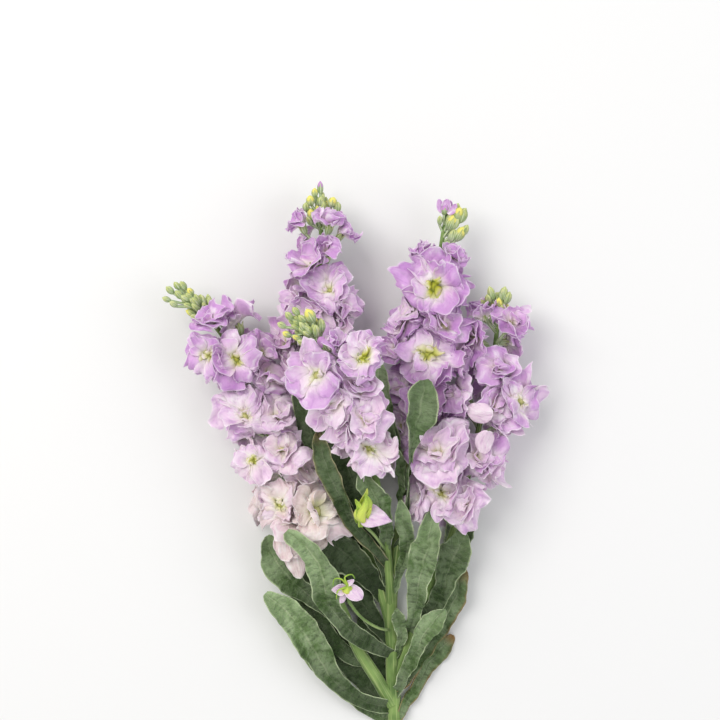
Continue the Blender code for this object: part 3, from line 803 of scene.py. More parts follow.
@dataclass(frozen=True, eq=False)
class Floret:
    """One double flower, in metres.

    Its stalk starts at its root, and its petals spread from its centre, square to its face. Age runs from
    0, just open and deep lilac, to 1, fading. Eye is how much of the yellow-green eye shows.
    """

    branch: str
    number: int
    root: np.ndarray
    centre: np.ndarray
    face: np.ndarray
    radius: float
    age: float
    eye: float
    opening: Opening

    def site(self) -> np.ndarray:
        """The middle of the room that it takes up, a little above its centre."""
        return self.centre + self.face * self.radius * 0.2

    def whorl(self, whorl: Whorl, depth: float, rng: np.random.Generator) -> tuple:
        """One ring of petals as grids, in metres.

        Down the petal, its blade leaves the centre at the claw's lift, bends to the rim's lift, and
        curls a little more at the rim. Its outline is a narrow claw that opens to a fan with a rounded
        rim: across the rim the width goes with the sine and the length falls with the cosine of the
        same angle, less a shallow notch. The blade is cupped, rolled and creased off its middle,
        billows, and its outer part is ruffled by two waves along the normal and one along the radius.

        Args:
            whorl: The ring's shape.
            depth: 0 for the outermost ring and 1 for the innermost.
            rng: The floret's own random numbers.

        Returns:
            Places, in metres, and paint and grain, each petals x rows x columns x values.
        """
        shape = (whorl.petals, whorl.rows, whorl.columns)
        v = np.linspace(0, 1, whorl.rows)[None, :, None] ** 0.9
        u = np.linspace(-1, 1, whorl.columns)[None, None, :]

        def vary(low: float, high: float) -> np.ndarray:
            """A random value for each petal."""
            return rng.uniform(low, high, whorl.petals)[:, None, None]

        reach = self.radius * whorl.length * vary(0.78, 1.08)
        half = self.radius * whorl.half_width * vary(0.80, 1.15)
        turn = np.arange(whorl.petals)[:, None, None] * 2 * math.pi / whorl.petals
        turn = turn + self.number * GOLDEN_ANGLE + depth * 2.4 + vary(-0.5, 0.5)
        claw = np.radians(whorl.claw_lift)
        rim = np.radians(whorl.rim_lift + vary(-22, 22) - 10 * (self.age - 0.5) * (1 - depth))
        lift = rim + (claw - rim) * (1 - v) ** 2.2 + np.radians(vary(-60, 34)) * v**3
        step = np.diff(v, axis=1)
        out, high = (
            np.concatenate(
                [np.zeros_like(lift[:, :1]), np.cumsum(step * (f[:, 1:] + f[:, :-1]) / 2, axis=1)], axis=1
            )
            for f in (np.cos(lift), np.sin(lift))
        )
        sweep = math.pi / 2 * u
        notch = vary(0.0, 0.10) * np.exp(-((u / vary(0.12, 0.3)) ** 2))
        outline = 1 - 0.36 * (1 - np.cos(sweep)) - notch + 0.035 * np.sin(u * vary(7, 12) + vary(0, 6))
        fan = 0.18 + 0.82 * np.sin(math.pi / 2 * np.clip(v / 0.78, 0, 1)) ** 1.5
        width = half * fan
        across = width * np.sin(sweep)
        ruffle = 0.12 * self.radius * vary(0.4, 1.4) * v**2 * (1 - 0.4 * depth)
        waves = np.sin(u * vary(3.0, 5.0) + vary(0, 6.3))
        waves = waves + 0.45 * np.sin(u * vary(7, 9) + vary(0, 6.3) + v * 2)
        waves = waves + 0.55 * np.sin(u * vary(11, 14) + vary(0, 6.3)) * smooth(v, 0.6, 1.0)
        cup = vary(-0.25, 0.45) * width * u**2 + vary(-0.6, 0.6) * across * v
        cup = cup + vary(-0.55, 0.75) * width * np.abs(u - vary(-0.4, 0.4)) ** 1.4 * v
        billow = vary(-0.07, 0.12) * self.radius * np.sin(math.pi * v) * np.cos(sweep)
        normal = ruffle * waves + cup + billow
        radial = reach * outline * out - np.sin(lift) * normal + 0.06 * self.radius
        radial = radial - 0.12 * across**2 / np.maximum(reach, 1e-4) + 0.5 * ruffle * np.cos(u * 6 + turn)
        height = reach * outline * high + np.cos(lift) * normal - 0.16 * self.radius * (1 - depth)
        tilted = unit(self.face + rng.uniform(-0.28, 0.28, 3) * (1 - self.eye))
        first, second = cross_frame(tilted)
        cos, sin = np.cos(turn), np.sin(turn)
        flat = (
            (radial * cos - across * sin)[..., None] * first
            + (radial * sin + across * cos)[..., None] * second
            + height[..., None] * tilted
        )
        share = np.broadcast_to(v, shape)
        strays = rng.uniform(-0.13, 0.13, (whorl.petals, 1, 1, 2)) * self.radius * (1 - 0.7 * self.eye)
        flat = flat + strays[..., :1] * first + strays[..., 1:] * second
        flat = crumpled(self.centre + flat)
        margin = np.maximum(np.abs(u) ** 6 * smooth(v, 0.2, 0.6), smooth(v, 0.80, 1.0))
        inner = self.eye * float(smooth(depth, 0.3, 1.0))
        tone = self.age + vary(-0.16, 0.16)
        pale = share * outline / (1 + 2.4 * inner)
        paint = shares(shape, pale, tone, margin, self.eye * (0.3 + 0.7 * depth))
        grain = shares(shape, u * half * 0.6, v * reach, vary(-0.5, 0.5))
        return flat, paint, grain

    def petals(self, room: "Room") -> Skin:
        """All its petals, kept in their own room.

        Args:
            room: Where the other florets, the leaves and the floor leave it space.

        Returns:
            Their skin.
        """
        rng = np.random.default_rng([self.number, int(self.radius * 1e6), len(self.branch)])
        rings = self.opening.value
        skins = []
        for i, ring in enumerate(rings):
            places, paint, grain = self.whorl(ring, i / (len(rings) - 1), rng)
            moved = room.fitted(places.reshape(-1, 3), self).reshape(places.shape) - places
            # A crowded petal gives way as a whole, so each of its rows shares half of its shift
            moved = 0.5 * moved + 0.5 * moved.mean(axis=2, keepdims=True)
            places = room.cleared((places + moved).reshape(-1, 3), self).reshape(places.shape)
            # Petals are 0.36 mm thick in the blade and thinner at the rim
            half = PETAL_HALF - RIM_THINNING * paint[..., 2]
            skins.append(sheet_skin(places, half, paint, grain))
        skins.append(self.throat())
        return join(skins)

    def throat(self) -> Skin:
        """The yellow-green floor between its innermost petals: a low dome of six shallow lobes.

        Its radius follows a cosine of the rise from foot to top and its height a sine, and the lobes are
        a cosine of six times the turn.

        Returns:
            Its skin.
        """
        turn = np.arange(12)[None] * 2 * math.pi / 12
        v = np.linspace(0, 1, 5)[:, None]
        radius = 0.18 * self.radius * np.cos(math.pi / 2 * v * 0.94) * (1 + 0.15 * np.cos(6 * turn))
        rise = (0.16 * np.sin(math.pi / 2 * v) - 0.04) * self.radius * np.ones_like(turn)
        ring = spokes(self.face, turn) * radius[..., None]
        places = crumpled(self.centre + ring + self.face * rise[..., None])
        places[..., 2] = on_floor(places[..., 2])
        paint = shares(radius.shape, 0.02 + 0.12 * v, self.age, 0.0, 0.4 + 0.6 * self.eye)
        grain = shares(radius.shape, np.cos(turn) * radius, np.sin(turn) * radius, rise)
        return ring_skin(places[None], paint[None], grain[None])

    def calyx(self) -> Skin:
        """Its green cup of four narrow sepals, standing under the petals.

        The outer wall runs up from the stalk and the inner wall back down. Its radius is a sine of the
        rise, which widens a little upwards, and the rim is drawn out in four tips.

        Returns:
            Its skin.
        """
        sides, outer = 16, 8
        length = max(0.55 * self.radius, 0.006)
        base = self.centre - self.face * length * 0.95
        girth = 0.0014 + 0.075 * self.radius
        rise = np.linspace(0, 1, outer)
        v = np.concatenate([rise, rise[::-1]])[:, None]
        inner = np.repeat((0, 1), outer)[:, None]
        turn = np.arange(sides)[None] * 2 * math.pi / sides
        tips = np.abs(np.cos(2 * turn)) ** 1.5
        reach = length * (0.72 + 0.36 * tips) * v
        swell = np.sin(math.pi * (0.18 + 0.55 * v)) * (1 + 0.12 * np.cos(4 * turn))
        flare = 0.5 * smooth(v, 0.7, 1.0) * tips
        radius = girth * (swell + flare) - 0.0003 * inner
        rings = base + spokes(self.face, turn) * radius[..., None] + self.face * reach[..., None]
        rings[..., 2] = on_floor(rings[..., 2])
        # The inner wall is painted darker, as painted shade inside the cup
        paint = shares(radius.shape, v, 0.15, 0.0, 0.45 * inner + 0.2)
        grain = shares(radius.shape, np.cos(turn) * girth, np.sin(turn) * girth, reach)
        return ring_skin(rings[None], paint[None], grain[None])

    def stalk(self) -> Skin:
        """The thin stalk from the branch up into the calyx, bowed a little away from the face.

        Returns:
            Its skin.
        """
        end = self.centre - self.face * max(0.50 * self.radius, 0.0055)
        middle = (self.root + end) / 2 - self.face * 0.12 * np.linalg.norm(end - self.root)
        path = curve_through([self.root, middle, end], 8)
        return tube(path, np.linspace(0.0011, 0.0009, 9), 8, 0.3)


def tube(path: np.ndarray, radii: np.ndarray, sides: int, shade: float = 0.0) -> Skin:
    """A round stalk: a circle square to the path, carried along it.

    Args:
        path: Its centre line.
        radii: Its radius at each point.
        sides: How many sides each ring has.
        shade: Its fourth paint share.

    Returns:
        Its skin, with the run along it as the third place of its grain.
    """
    turn = np.arange(sides) * 2 * math.pi / sides
    rings = path[:, None] + spokes(directions(path), turn) * radii[:, None, None]
    shape = rings.shape[:2]
    paint = shares(shape, 0.1, 0.0, 0.0, shade)
    across = radii[:, None]
    grain = shares(shape, np.cos(turn) * across, np.sin(turn) * across, travelled(path)[:, None])
    return ring_skin(rings[None], paint[None], grain[None])


class Petal(NamedTuple):
    """A petal that stands by itself, in millimetres.

    It runs from its base to its tip, its upper side looks towards its face, half is half of its full
    width, and curl is how far its tip rises towards its face. Pointed is 1 for a petal that narrows
    straight to its tip and 0 for a round one. Age is a floret's age.
    """

    base: tuple
    tip: tuple
    face: tuple
    half: float
    pointed: float
    curl: float
    age: float = 0.6

    def skin(self) -> Skin:
        """Its skin.

        The width of a pointed petal follows a skewed sine of the run that is fullest near its base, and
        that of a round one follows an ellipse that is cut a little short at both ends. The curl goes
        with the square of the run.

        Returns:
            The skin.
        """
        start, end = mm(self.base), mm(self.tip)
        heading = unit(end - start)
        side = unit(np.cross(heading, self.face))
        over = np.cross(side, heading)
        v = np.linspace(0, 1, 18)[:, None]
        u = np.linspace(-1, 1, 13)[None]
        sharp = np.sin(math.pi * (0.03 + 0.95 * v) ** 0.55)
        fan = np.sqrt(1 - (0.93 - 1.84 * v) ** 2)
        width = mm(self.half) * (self.pointed * sharp + (1 - self.pointed) * fan)
        reach = 1 - (1 - self.pointed) * 0.10 * (1 - np.cos(math.pi / 2 * u))
        run = np.linalg.norm(end - start) * v * reach
        wave = mm(0.08 * self.half) * (np.sin(u * 5 + v * 4 + self.half) + 0.6 * np.sin(u * 12 + v * 5)) * v
        rise = mm(self.curl) * v**2 + 0.3 * np.sign(self.curl) * width * u**2 + wave
        across = width * np.sin(math.pi / 2 * u)
        places = start + heading * run[..., None] + side * across[..., None] + over * rise[..., None]
        places = (places + crumpled(places)) / 2
        margin = np.maximum(np.abs(u) ** 6, smooth(v, 0.85, 1.0))
        paint = shares(run.shape, 0.45 + 0.5 * v, self.age, margin, 0.0)
        grain = shares(run.shape, across, run, self.half)
        half = np.full((1, *run.shape), PETAL_HALF)
        return sheet_skin(places[None], half, paint[None], grain[None])


# Branches with flowers


class Place(NamedTuple):
    """A floret that faces up, in millimetres.

    It is seen from above at x, y. Eye is how much of its eye shows, turned is how far it faces towards
    the branch's tip, and raised is how far it is lifted over its neighbours.
    """

    x: float
    y: float
    radius: float
    eye: float = 0.2
    turned: float = 0.0
    raised: float = 0.0

    def opening(self) -> Opening:
        """How far it has opened. Only an open floret shows its eye, and the smallest are the youngest.

        Returns:
            One of the openings.
        """
        if self.eye >= 0.5:
            return Opening.EYED
        if self.radius < 10.5:
            return Opening.YOUNG
        return Opening.FULL if self.radius >= 13 else Opening.HALF


class Tint(Enum):
    """How yellow and how lilac the tip of a bud is."""

    GREEN = (0.3, 0.0)
    YELLOW = (1.0, 0.0)
    LILAC = (0.0, 1.0)


class Shown(NamedTuple):
    """A bud that stands out of the head: where it is seen from above, its length and girth, and its tint.

    The lengths are in millimetres, and the girth is a radius.
    """

    x: float
    y: float
    length: float
    girth: float
    tint: Tint


@dataclass(frozen=True, eq=False)
class Bud:
    """A bud on its stalk: a swollen cup of four sepals with the tips of its petals in it.

    The stalk leaves its root along the heading, and the cup looks along the face. The lengths are in
    metres, the girth is a radius, and the seed turns its pattern.
    """

    root: np.ndarray
    heading: np.ndarray
    face: np.ndarray
    stalk: float
    length: float
    girth: float
    tint: Tint
    seed: int

    def skins(self) -> list[Skin]:
        """The cup, the petal tips in it, and the stalk.

        The cup's wall follows a sine from its base, and its rim is drawn out in four tips that lean in.
        The petal tips are one egg with five shallow grooves that wind a little about it.

        Returns:
            Their skins.
        """
        base = self.root + self.heading * self.stalk
        sides, rise = 12, np.linspace(0, 1, 8)
        turn = np.arange(sides)[None] * 2 * math.pi / sides + self.seed
        ring = spokes(self.face, turn)
        yellow, lilac = self.tint.value
        v = np.concatenate([rise, rise[::-1]])[:, None]
        inner = np.repeat((0, 1), len(rise))[:, None]
        tips = np.abs(np.cos(2 * turn)) ** 1.3
        reach = self.length * (0.56 + 0.30 * tips) * v
        swell = np.sin(math.pi * (0.10 + 0.66 * v**0.9)) * (1 + 0.12 * np.cos(4 * turn))
        wall = self.girth * swell - 0.00025 * inner
        cup = base + ring * wall[..., None] + self.face * reach[..., None]
        # The inner wall of the cup is painted darker, as painted shade inside it
        paint = shares(wall.shape, v, yellow * 0.3, 0.0, 0.5 * inner + 0.2)
        grain = shares(wall.shape, np.cos(turn) * self.girth, np.sin(turn) * self.girth, reach + self.seed)
        made = [ring_skin(cup[None], paint[None], grain[None])]
        v = np.linspace(0.02, 0.985, 8)[:, None]
        egg = self.girth * 0.88 * np.sin(math.pi * v**1.2) ** 0.75 * (1 + 0.10 * np.sin(5 * turn + 2 * v))
        heart = base + ring * egg[..., None] + self.face * (self.length * (0.08 + 0.94 * v))[..., None]
        paint = shares(egg.shape, 0.5 + 0.5 * v, yellow * (1 - lilac), lilac, 0.0)
        made.append(ring_skin(heart[None], paint[None], grain[: len(rise)][None]))
        bend = self.root + self.heading * self.stalk * 0.6
        path = curve_through([self.root, bend, base + self.face * self.girth * 0.3], 5)
        made.append(tube(path, np.linspace(0.0007, 0.0009, 6), 6, 0.1))
        return made


@dataclass(frozen=True)
class Branch:
    """A branch with flowers, in millimetres.

    Places are the florets that face up, and hidden is how many more face down or sideways, at the hidden
    angles in turn: 0 is level on one side, 90 straight down and 180 level on the other side. Flowered is
    the stretch of the path that bears florets, as two shares of it, and ages are theirs at its two ends.
    Shown buds stand out of the head, and its other buds are a spiral of so many. Loose petals stand by
    themselves.
    """

    name: str
    path: tuple
    root_radius: float
    places: tuple
    hidden: int
    flowered: tuple[float, float]
    ages: tuple[float, float]
    shown: tuple[Shown, ...] = ()
    loose: tuple[Petal, ...] = ()
    spiral: int = 34
    hidden_angles: tuple = (60, 160, 100, 12, 125, 75, 172, 30)

    def axis(self) -> np.ndarray:
        """The branch's middle line."""
        return curve_through(mm(self.path), AXIS_STEPS)

    def age_at(self, index: int) -> float:
        """How old the florets are at a step of the axis: oldest at the foot.

        Args:
            index: The number of the step.

        Returns:
            Their age.
        """
        share = (index / AXIS_STEPS - self.flowered[0]) / (self.flowered[1] - self.flowered[0])
        low, high = self.ages
        return low + (high - low) * min(max(share, 0), 1)

    def facing_florets(self) -> list[Floret]:
        """The florets that stand out of its upper half, and face outwards and up.

        Each stands over its place as seen from above, on a circle about the axis, so the nearer to the
        axis it is seen, the higher it stands.

        Returns:
            The florets, in the order of their places.
        """
        axis = self.axis()
        run = directions(axis)
        rng = np.random.default_rng([19, len(self.name), len(self.places)])
        made = []
        for number, place in enumerate(self.places):
            x, y, radius = mm(place[:3]) * (1, 1, SPREAD)
            index = nearest(axis, (x, y))
            beside = (x, y, 0) - axis[index] * (1, 1, 0)
            reach = 0.50 * radius + mm(5.5)
            lift = max(math.sqrt(max(reach**2 - beside @ beside, 0)), mm(5 + 13 * place.eye))
            out = beside + UP * (lift + mm(place.raised))
            stray = rng.uniform(-0.55, 0.55, 3) * (1 - place.eye)
            lean = 0.30 + 2.2 * place.turned
            face = unit(unit(out) + lean * run[index] + (0.10 + 2.0 * place.eye**2) * UP + stray)
            root, centre = axis[max(index - FLORET_STALK, 0)], axis[index] + out
            age, opening = self.age_at(index), place.opening()
            made.append(Floret(self.name, number, root, centre, face, radius, age, place.eye, opening))
        return made

    def hidden_florets(self) -> list[Floret]:
        """The florets on its under side and flanks. Those that face the floor lie on it.

        Returns:
            The florets, from the foot up.
        """
        axis = self.axis()
        run = directions(axis)
        first, last = self.flowered
        made = []
        for i in range(self.hidden):
            share = (i + 0.5) / self.hidden
            index = int((first + (last - first) * share) * AXIS_STEPS)
            level = unit(np.cross(run[index], UP))
            under = np.cross(run[index], level)
            under *= -np.sign(under[2])
            angle = math.radians(self.hidden_angles[i % len(self.hidden_angles)])
            out = math.cos(angle) * level + math.sin(angle) * under
            radius = mm(15.5 - 6.0 * share)
            drop = (axis[index, 2] - mm(2.6)) / -out[2]
            reach = drop if drop < 2.1 * radius else 0.8 * radius
            face = unit(out + 0.15 * run[index])
            number, age = len(self.places) + i, self.age_at(index)
            root, centre = axis[max(index - FLORET_STALK, 0)], axis[index] + out * reach
            made.append(Floret(self.name, number, root, centre, face, radius, age, 0.2, Opening.HIDDEN))
        return made

    def buds(self) -> Skin:
        """The head of buds round its last stretch, closing towards the tip.

        The buds leave the axis at golden angles, and lean out less the nearer they are to the tip. Each
        shown bud has a stalk from the axis to its place.

        Returns:
            The skin of the whole head.
        """
        axis = self.axis()
        run = directions(axis)
        length = travelled(axis)[-1]
        rng = np.random.default_rng([71, len(self.name), self.hidden])
        skins = []
        for i, share in enumerate(np.linspace(0, 1, self.spiral)):
            index = int((1 - HEAD_LENGTH * (1 - share) / length) * AXIS_STEPS) - 1
            level = unit(np.cross(run[index], UP))
            over = np.cross(level, run[index])
            out = math.cos(i * GOLDEN_ANGLE) * level + math.sin(i * GOLDEN_ANGLE) * over
            lean = math.radians(70 - 60 * share + rng.uniform(-12, 12))
            heading = math.sin(lean) * out + math.cos(lean) * run[index]
            stalk = mm(6.0 - 4.0 * share) * rng.uniform(0.5, 1.4)
            long = mm(7.8 - 2.4 * share) * rng.uniform(0.8, 1.15)
            tint = Tint.YELLOW if rng.random() < 0.18 else Tint.GREEN
            face = unit(heading + 1.1 * run[index] + rng.uniform(-0.3, 0.3, 3))
            skins += Bud(axis[index], heading, face, stalk, long, 0.25 * long, tint, i).skins()
        for i, shown in enumerate(self.shown):
            x, y = mm((shown.x, shown.y))
            index = max(nearest(axis, (x, y)) - BUD_STALK, 0)
            way = np.array((x, y, axis[index, 2] + mm(shown.girth + 2))) - axis[index]
            heading = unit(way)
            face = unit(0.5 * heading + run[index] + 0.25 * UP + rng.uniform(-0.3, 0.3, 3))
            long, girth = mm((shown.length, shown.girth))
            stalk = float(np.linalg.norm(way)) - long * 0.4
            skins += Bud(axis[index], heading, face, stalk, long, girth, shown.tint, 40 + i).skins()
        return join(skins)


BRANCHES = (
    Branch(
        "left",
        ((-1, 4, 4.2), (-11, 21, 5.5), (-22, 39, 7.5), (-32, 63, 11), (-44, 93, 15), (-58, 126, 18),
         (-71, 159, 20), (-85, 192, 20), (-98, 221, 21), (-112, 241, 23), (-125, 254, 26)),
        4.2,
        (Place(-108, 241, 10.5, 0.1, 0.6), Place(-94, 238, 10.5, 0.1, 0.8), Place(-111, 217, 12, 0.8),
         Place(-95, 217, 14, 0.9), Place(-79, 222, 10.5), Place(-76, 205, 14), Place(-90, 185, 14, 0.5),
         Place(-70, 181, 15), Place(-84, 155, 9.5, 0.9), Place(-67, 161, 14), Place(-69, 131, 12.5, 0.7),
         Place(-47, 125, 16, 0.45, 0.0, 3), Place(-57, 148, 12), Place(-60, 122, 12)),
        8,
        (0.42, 0.88),
        (1.0, 0.2),
        (Shown(-131, 260, 6, 1.8, Tint.GREEN), Shown(-137, 252, 6, 1.7, Tint.GREEN),
         Shown(-135, 257, 6.5, 1.9, Tint.GREEN), Shown(-122, 257, 6, 1.9, Tint.YELLOW),
         Shown(-127, 260, 6.5, 1.9, Tint.GREEN), Shown(-130, 254, 7, 2.0, Tint.GREEN),
         Shown(-133, 248, 6, 1.7, Tint.GREEN), Shown(-125, 253, 7, 2.0, Tint.GREEN)),
        (Petal((-65, 117, 30), (-64, 95, 31), (-0.3, 0, 1), 7.0, 0, 2.0, 0.95),
         Petal((-62, 112, 29), (-58, 84, 32), (-0.1, 0.2, 1), 6.5, 0, -2.5, 0.95),
         Petal((-60, 115, 32), (-60, 98, 33), (0.4, 0.1, 1), 5.0, 0, 2.0, 0.95),
         Petal((-68, 117, 29), (-68, 102, 30), (-0.5, 0, 1), 4.5, 0, -1.5, 0.95)),
        hidden_angles=(60, 130, 100, 12, 125, 75, 165, 30),
    ),
    Branch(
        "tall_left",
        ((-1, 48, 6), (-9, 78, 8), (-20, 114, 12), (-30, 150, 16), (-39, 186, 19), (-44, 222, 20),
         (-46, 252, 20), (-45, 282, 21), (-44, 312, 22)),
        3.3,
        (Place(-56, 297, 8, 0.1, 0.7), Place(-39, 297, 10, 0.1, 1.0), Place(-32, 292, 8, 0.1, 0.6),
         Place(-51, 275, 12, 0.1, 0.8), Place(-41, 279, 10, 0.1, 0.6), Place(-40, 260, 13, 0.6),
         Place(-32, 247, 11), Place(-58, 250, 11), Place(-34, 233, 11), Place(-66, 228, 10.5),
         Place(-61, 212, 12), Place(-50, 240, 12)),
        7,
        (0.60, 0.93),
        (0.6, 0.08),
        (Shown(-45, 319, 8, 1.8, Tint.LILAC), Shown(-52, 311, 7, 2.6, Tint.YELLOW),
         Shown(-49, 316, 6, 1.9, Tint.YELLOW), Shown(-55, 307, 6, 2.0, Tint.GREEN),
         Shown(-37, 310, 7, 2.6, Tint.YELLOW), Shown(-45, 311, 6, 2.2, Tint.GREEN),
         Shown(-33, 306, 7, 2.2, Tint.GREEN), Shown(-51, 302, 8, 2.6, Tint.YELLOW)),
        hidden_angles=(60, 160, 100, 12, 125, 105, 172),
    ),
    Branch(
        "front",
        ((-2, 63, 8), (-4, 96, 18), (-8, 126, 30), (-14, 156, 42), (-23, 183, 52), (-34, 207, 58),
         (-46, 226, 62), (-57, 238, 65)),
        2.9,
        (Place(-37, 225, 8), Place(-20, 218, 11, 1.0), Place(-46, 206, 14, 0.6), Place(-23, 201, 11),
         Place(-34, 190, 13), Place(-19, 184, 13), Place(-15, 162, 12, 0.7), Place(-27, 176, 11)),
        4,
        (0.48, 0.86),
        (0.72, 0.3),
        (Shown(-47, 241, 9, 3.2, Tint.YELLOW), Shown(-39, 224, 12, 4.2, Tint.LILAC),
         Shown(-62, 241, 6.5, 1.9, Tint.GREEN), Shown(-66, 235, 6, 1.8, Tint.GREEN),
         Shown(-57, 244, 6.5, 1.9, Tint.GREEN), Shown(-63, 229, 6, 1.8, Tint.YELLOW),
         Shown(-53, 240, 7, 2.0, Tint.GREEN), Shown(-51, 233, 7, 1.9, Tint.GREEN)),
    ),
    Branch(
        "tall_right",
        ((-1, 38, 5.2), (-2, 66, 8), (1, 96, 12), (5, 126, 16), (9, 156, 18), (14, 192, 20), (20, 228, 21),
         (25, 261, 22), (28.5, 288, 23), (31, 304, 25)),
        4.3,
        (Place(16, 276, 9.5, 0.1, 0.7), Place(35, 278, 8.5, 0.1, 0.5), Place(23, 260, 17, 1.0),
         Place(34, 257, 10), Place(9, 241, 13, 0.4), Place(27, 238, 15), Place(1, 224, 11),
         Place(20, 218, 16, 0.9), Place(37, 221, 11), Place(3, 198, 12), Place(18, 192, 13),
         Place(4, 174, 11)),
        8,
        (0.50, 0.91),
        (0.36, 0.0),
        (Shown(29.5, 305.5, 6, 2.3, Tint.LILAC), Shown(34.5, 297, 10.5, 3.7, Tint.YELLOW),
         Shown(39, 302, 9, 2.9, Tint.YELLOW), Shown(42.5, 300, 9, 2.7, Tint.GREEN),
         Shown(41.5, 304, 6.5, 1.8, Tint.GREEN), Shown(40, 289.5, 10, 2.9, Tint.YELLOW),
         Shown(36, 289, 8.5, 2.5, Tint.GREEN), Shown(33, 300, 7, 2.2, Tint.GREEN),
         Shown(38, 306.5, 6, 1.8, Tint.GREEN), Shown(43, 292, 8, 2.2, Tint.GREEN),
         Shown(37.5, 297, 8, 2.4, Tint.GREEN)),
        (Petal((28.6, 304.5, 29), (26.2, 312.5, 31), (0.6, 0, 0.8), 2.9, 0.15, -1.0, 0.3),
         Petal((29.8, 304.5, 28), (30.5, 314, 30), (0, 0.2, 1), 3.0, 0.15, 1.0, 0.35),
         Petal((30.6, 304.5, 30), (36.2, 310.8, 32), (-0.5, 0.3, 0.8), 2.6, 0.15, -1.2, 0.2),
         Petal((29.8, 305.5, 26), (33, 313, 28), (0, 0.2, 1), 2.8, 0.15, 1.0, 0.25)),
        spiral=4,
    ),
    Branch(
        "right",
        ((0, 18, 4.5), (9, 45, 7), (21, 75, 12), (34, 108, 18), (44, 144, 21), (52, 180, 21.5), (59, 213, 21),
         (62, 237, 22), (62, 252, 23)),
        2.6,
        (Place(53, 243, 9, 0.1, 0.5), Place(69, 237, 11, 0.2, 0.4), Place(50, 226, 12), Place(62, 210, 11),
         Place(73, 193, 12.5, 0.5), Place(38, 193, 14), Place(59, 187, 11), Place(63, 177, 10),
         Place(26, 162, 17, 0.45, 0.0, 7), Place(51, 159, 13), Place(55, 152, 11), Place(29, 137, 13, 0.7),
         Place(17, 131, 11, 0.3), Place(41, 132, 12, 0.3)),
        8,
        (0.45, 0.93),
        (0.62, 0.15),
        (Shown(58, 255, 9, 2.4, Tint.GREEN), Shown(65, 255, 9, 2.4, Tint.GREEN),
         Shown(55, 251, 8, 2.0, Tint.GREEN), Shown(68.5, 252, 8, 2.2, Tint.GREEN),
         Shown(52.5, 248, 7, 1.8, Tint.GREEN), Shown(62, 248, 9, 2.6, Tint.YELLOW)),
        (Petal((42.5, 186, 44), (56.5, 184, 49), (0.2, -0.2, 1), 6.4, 0, -2.5, 0.75),
         Petal((51, 161, 43), (55.5, 174, 48), (0.3, 0, 1), 5.5, 0, -2.0, 0.75),
         Petal((33, 133, 36), (41, 118, 38), (0.1, -0.4, 1), 7.6, 0, -2.5, 0.6),
         Petal((22, 133, 35), (13, 121, 37), (-0.3, -0.4, 1), 6.4, 0, -2.0, 0.75),
         Petal((26, 131, 36), (25, 117, 36), (0.1, -0.3, 1), 4.0, 0, 2.0, 0.6)),
        hidden_angles=(120, 160, 100, 15, 125, 75, 172, 30),
    ),
)


# Leaves


class Wear(Enum):
    """How brown a leaf has dried along its margin."""

    FRESH = 0.0
    TIPPED = 0.45
    BROWN = 0.9


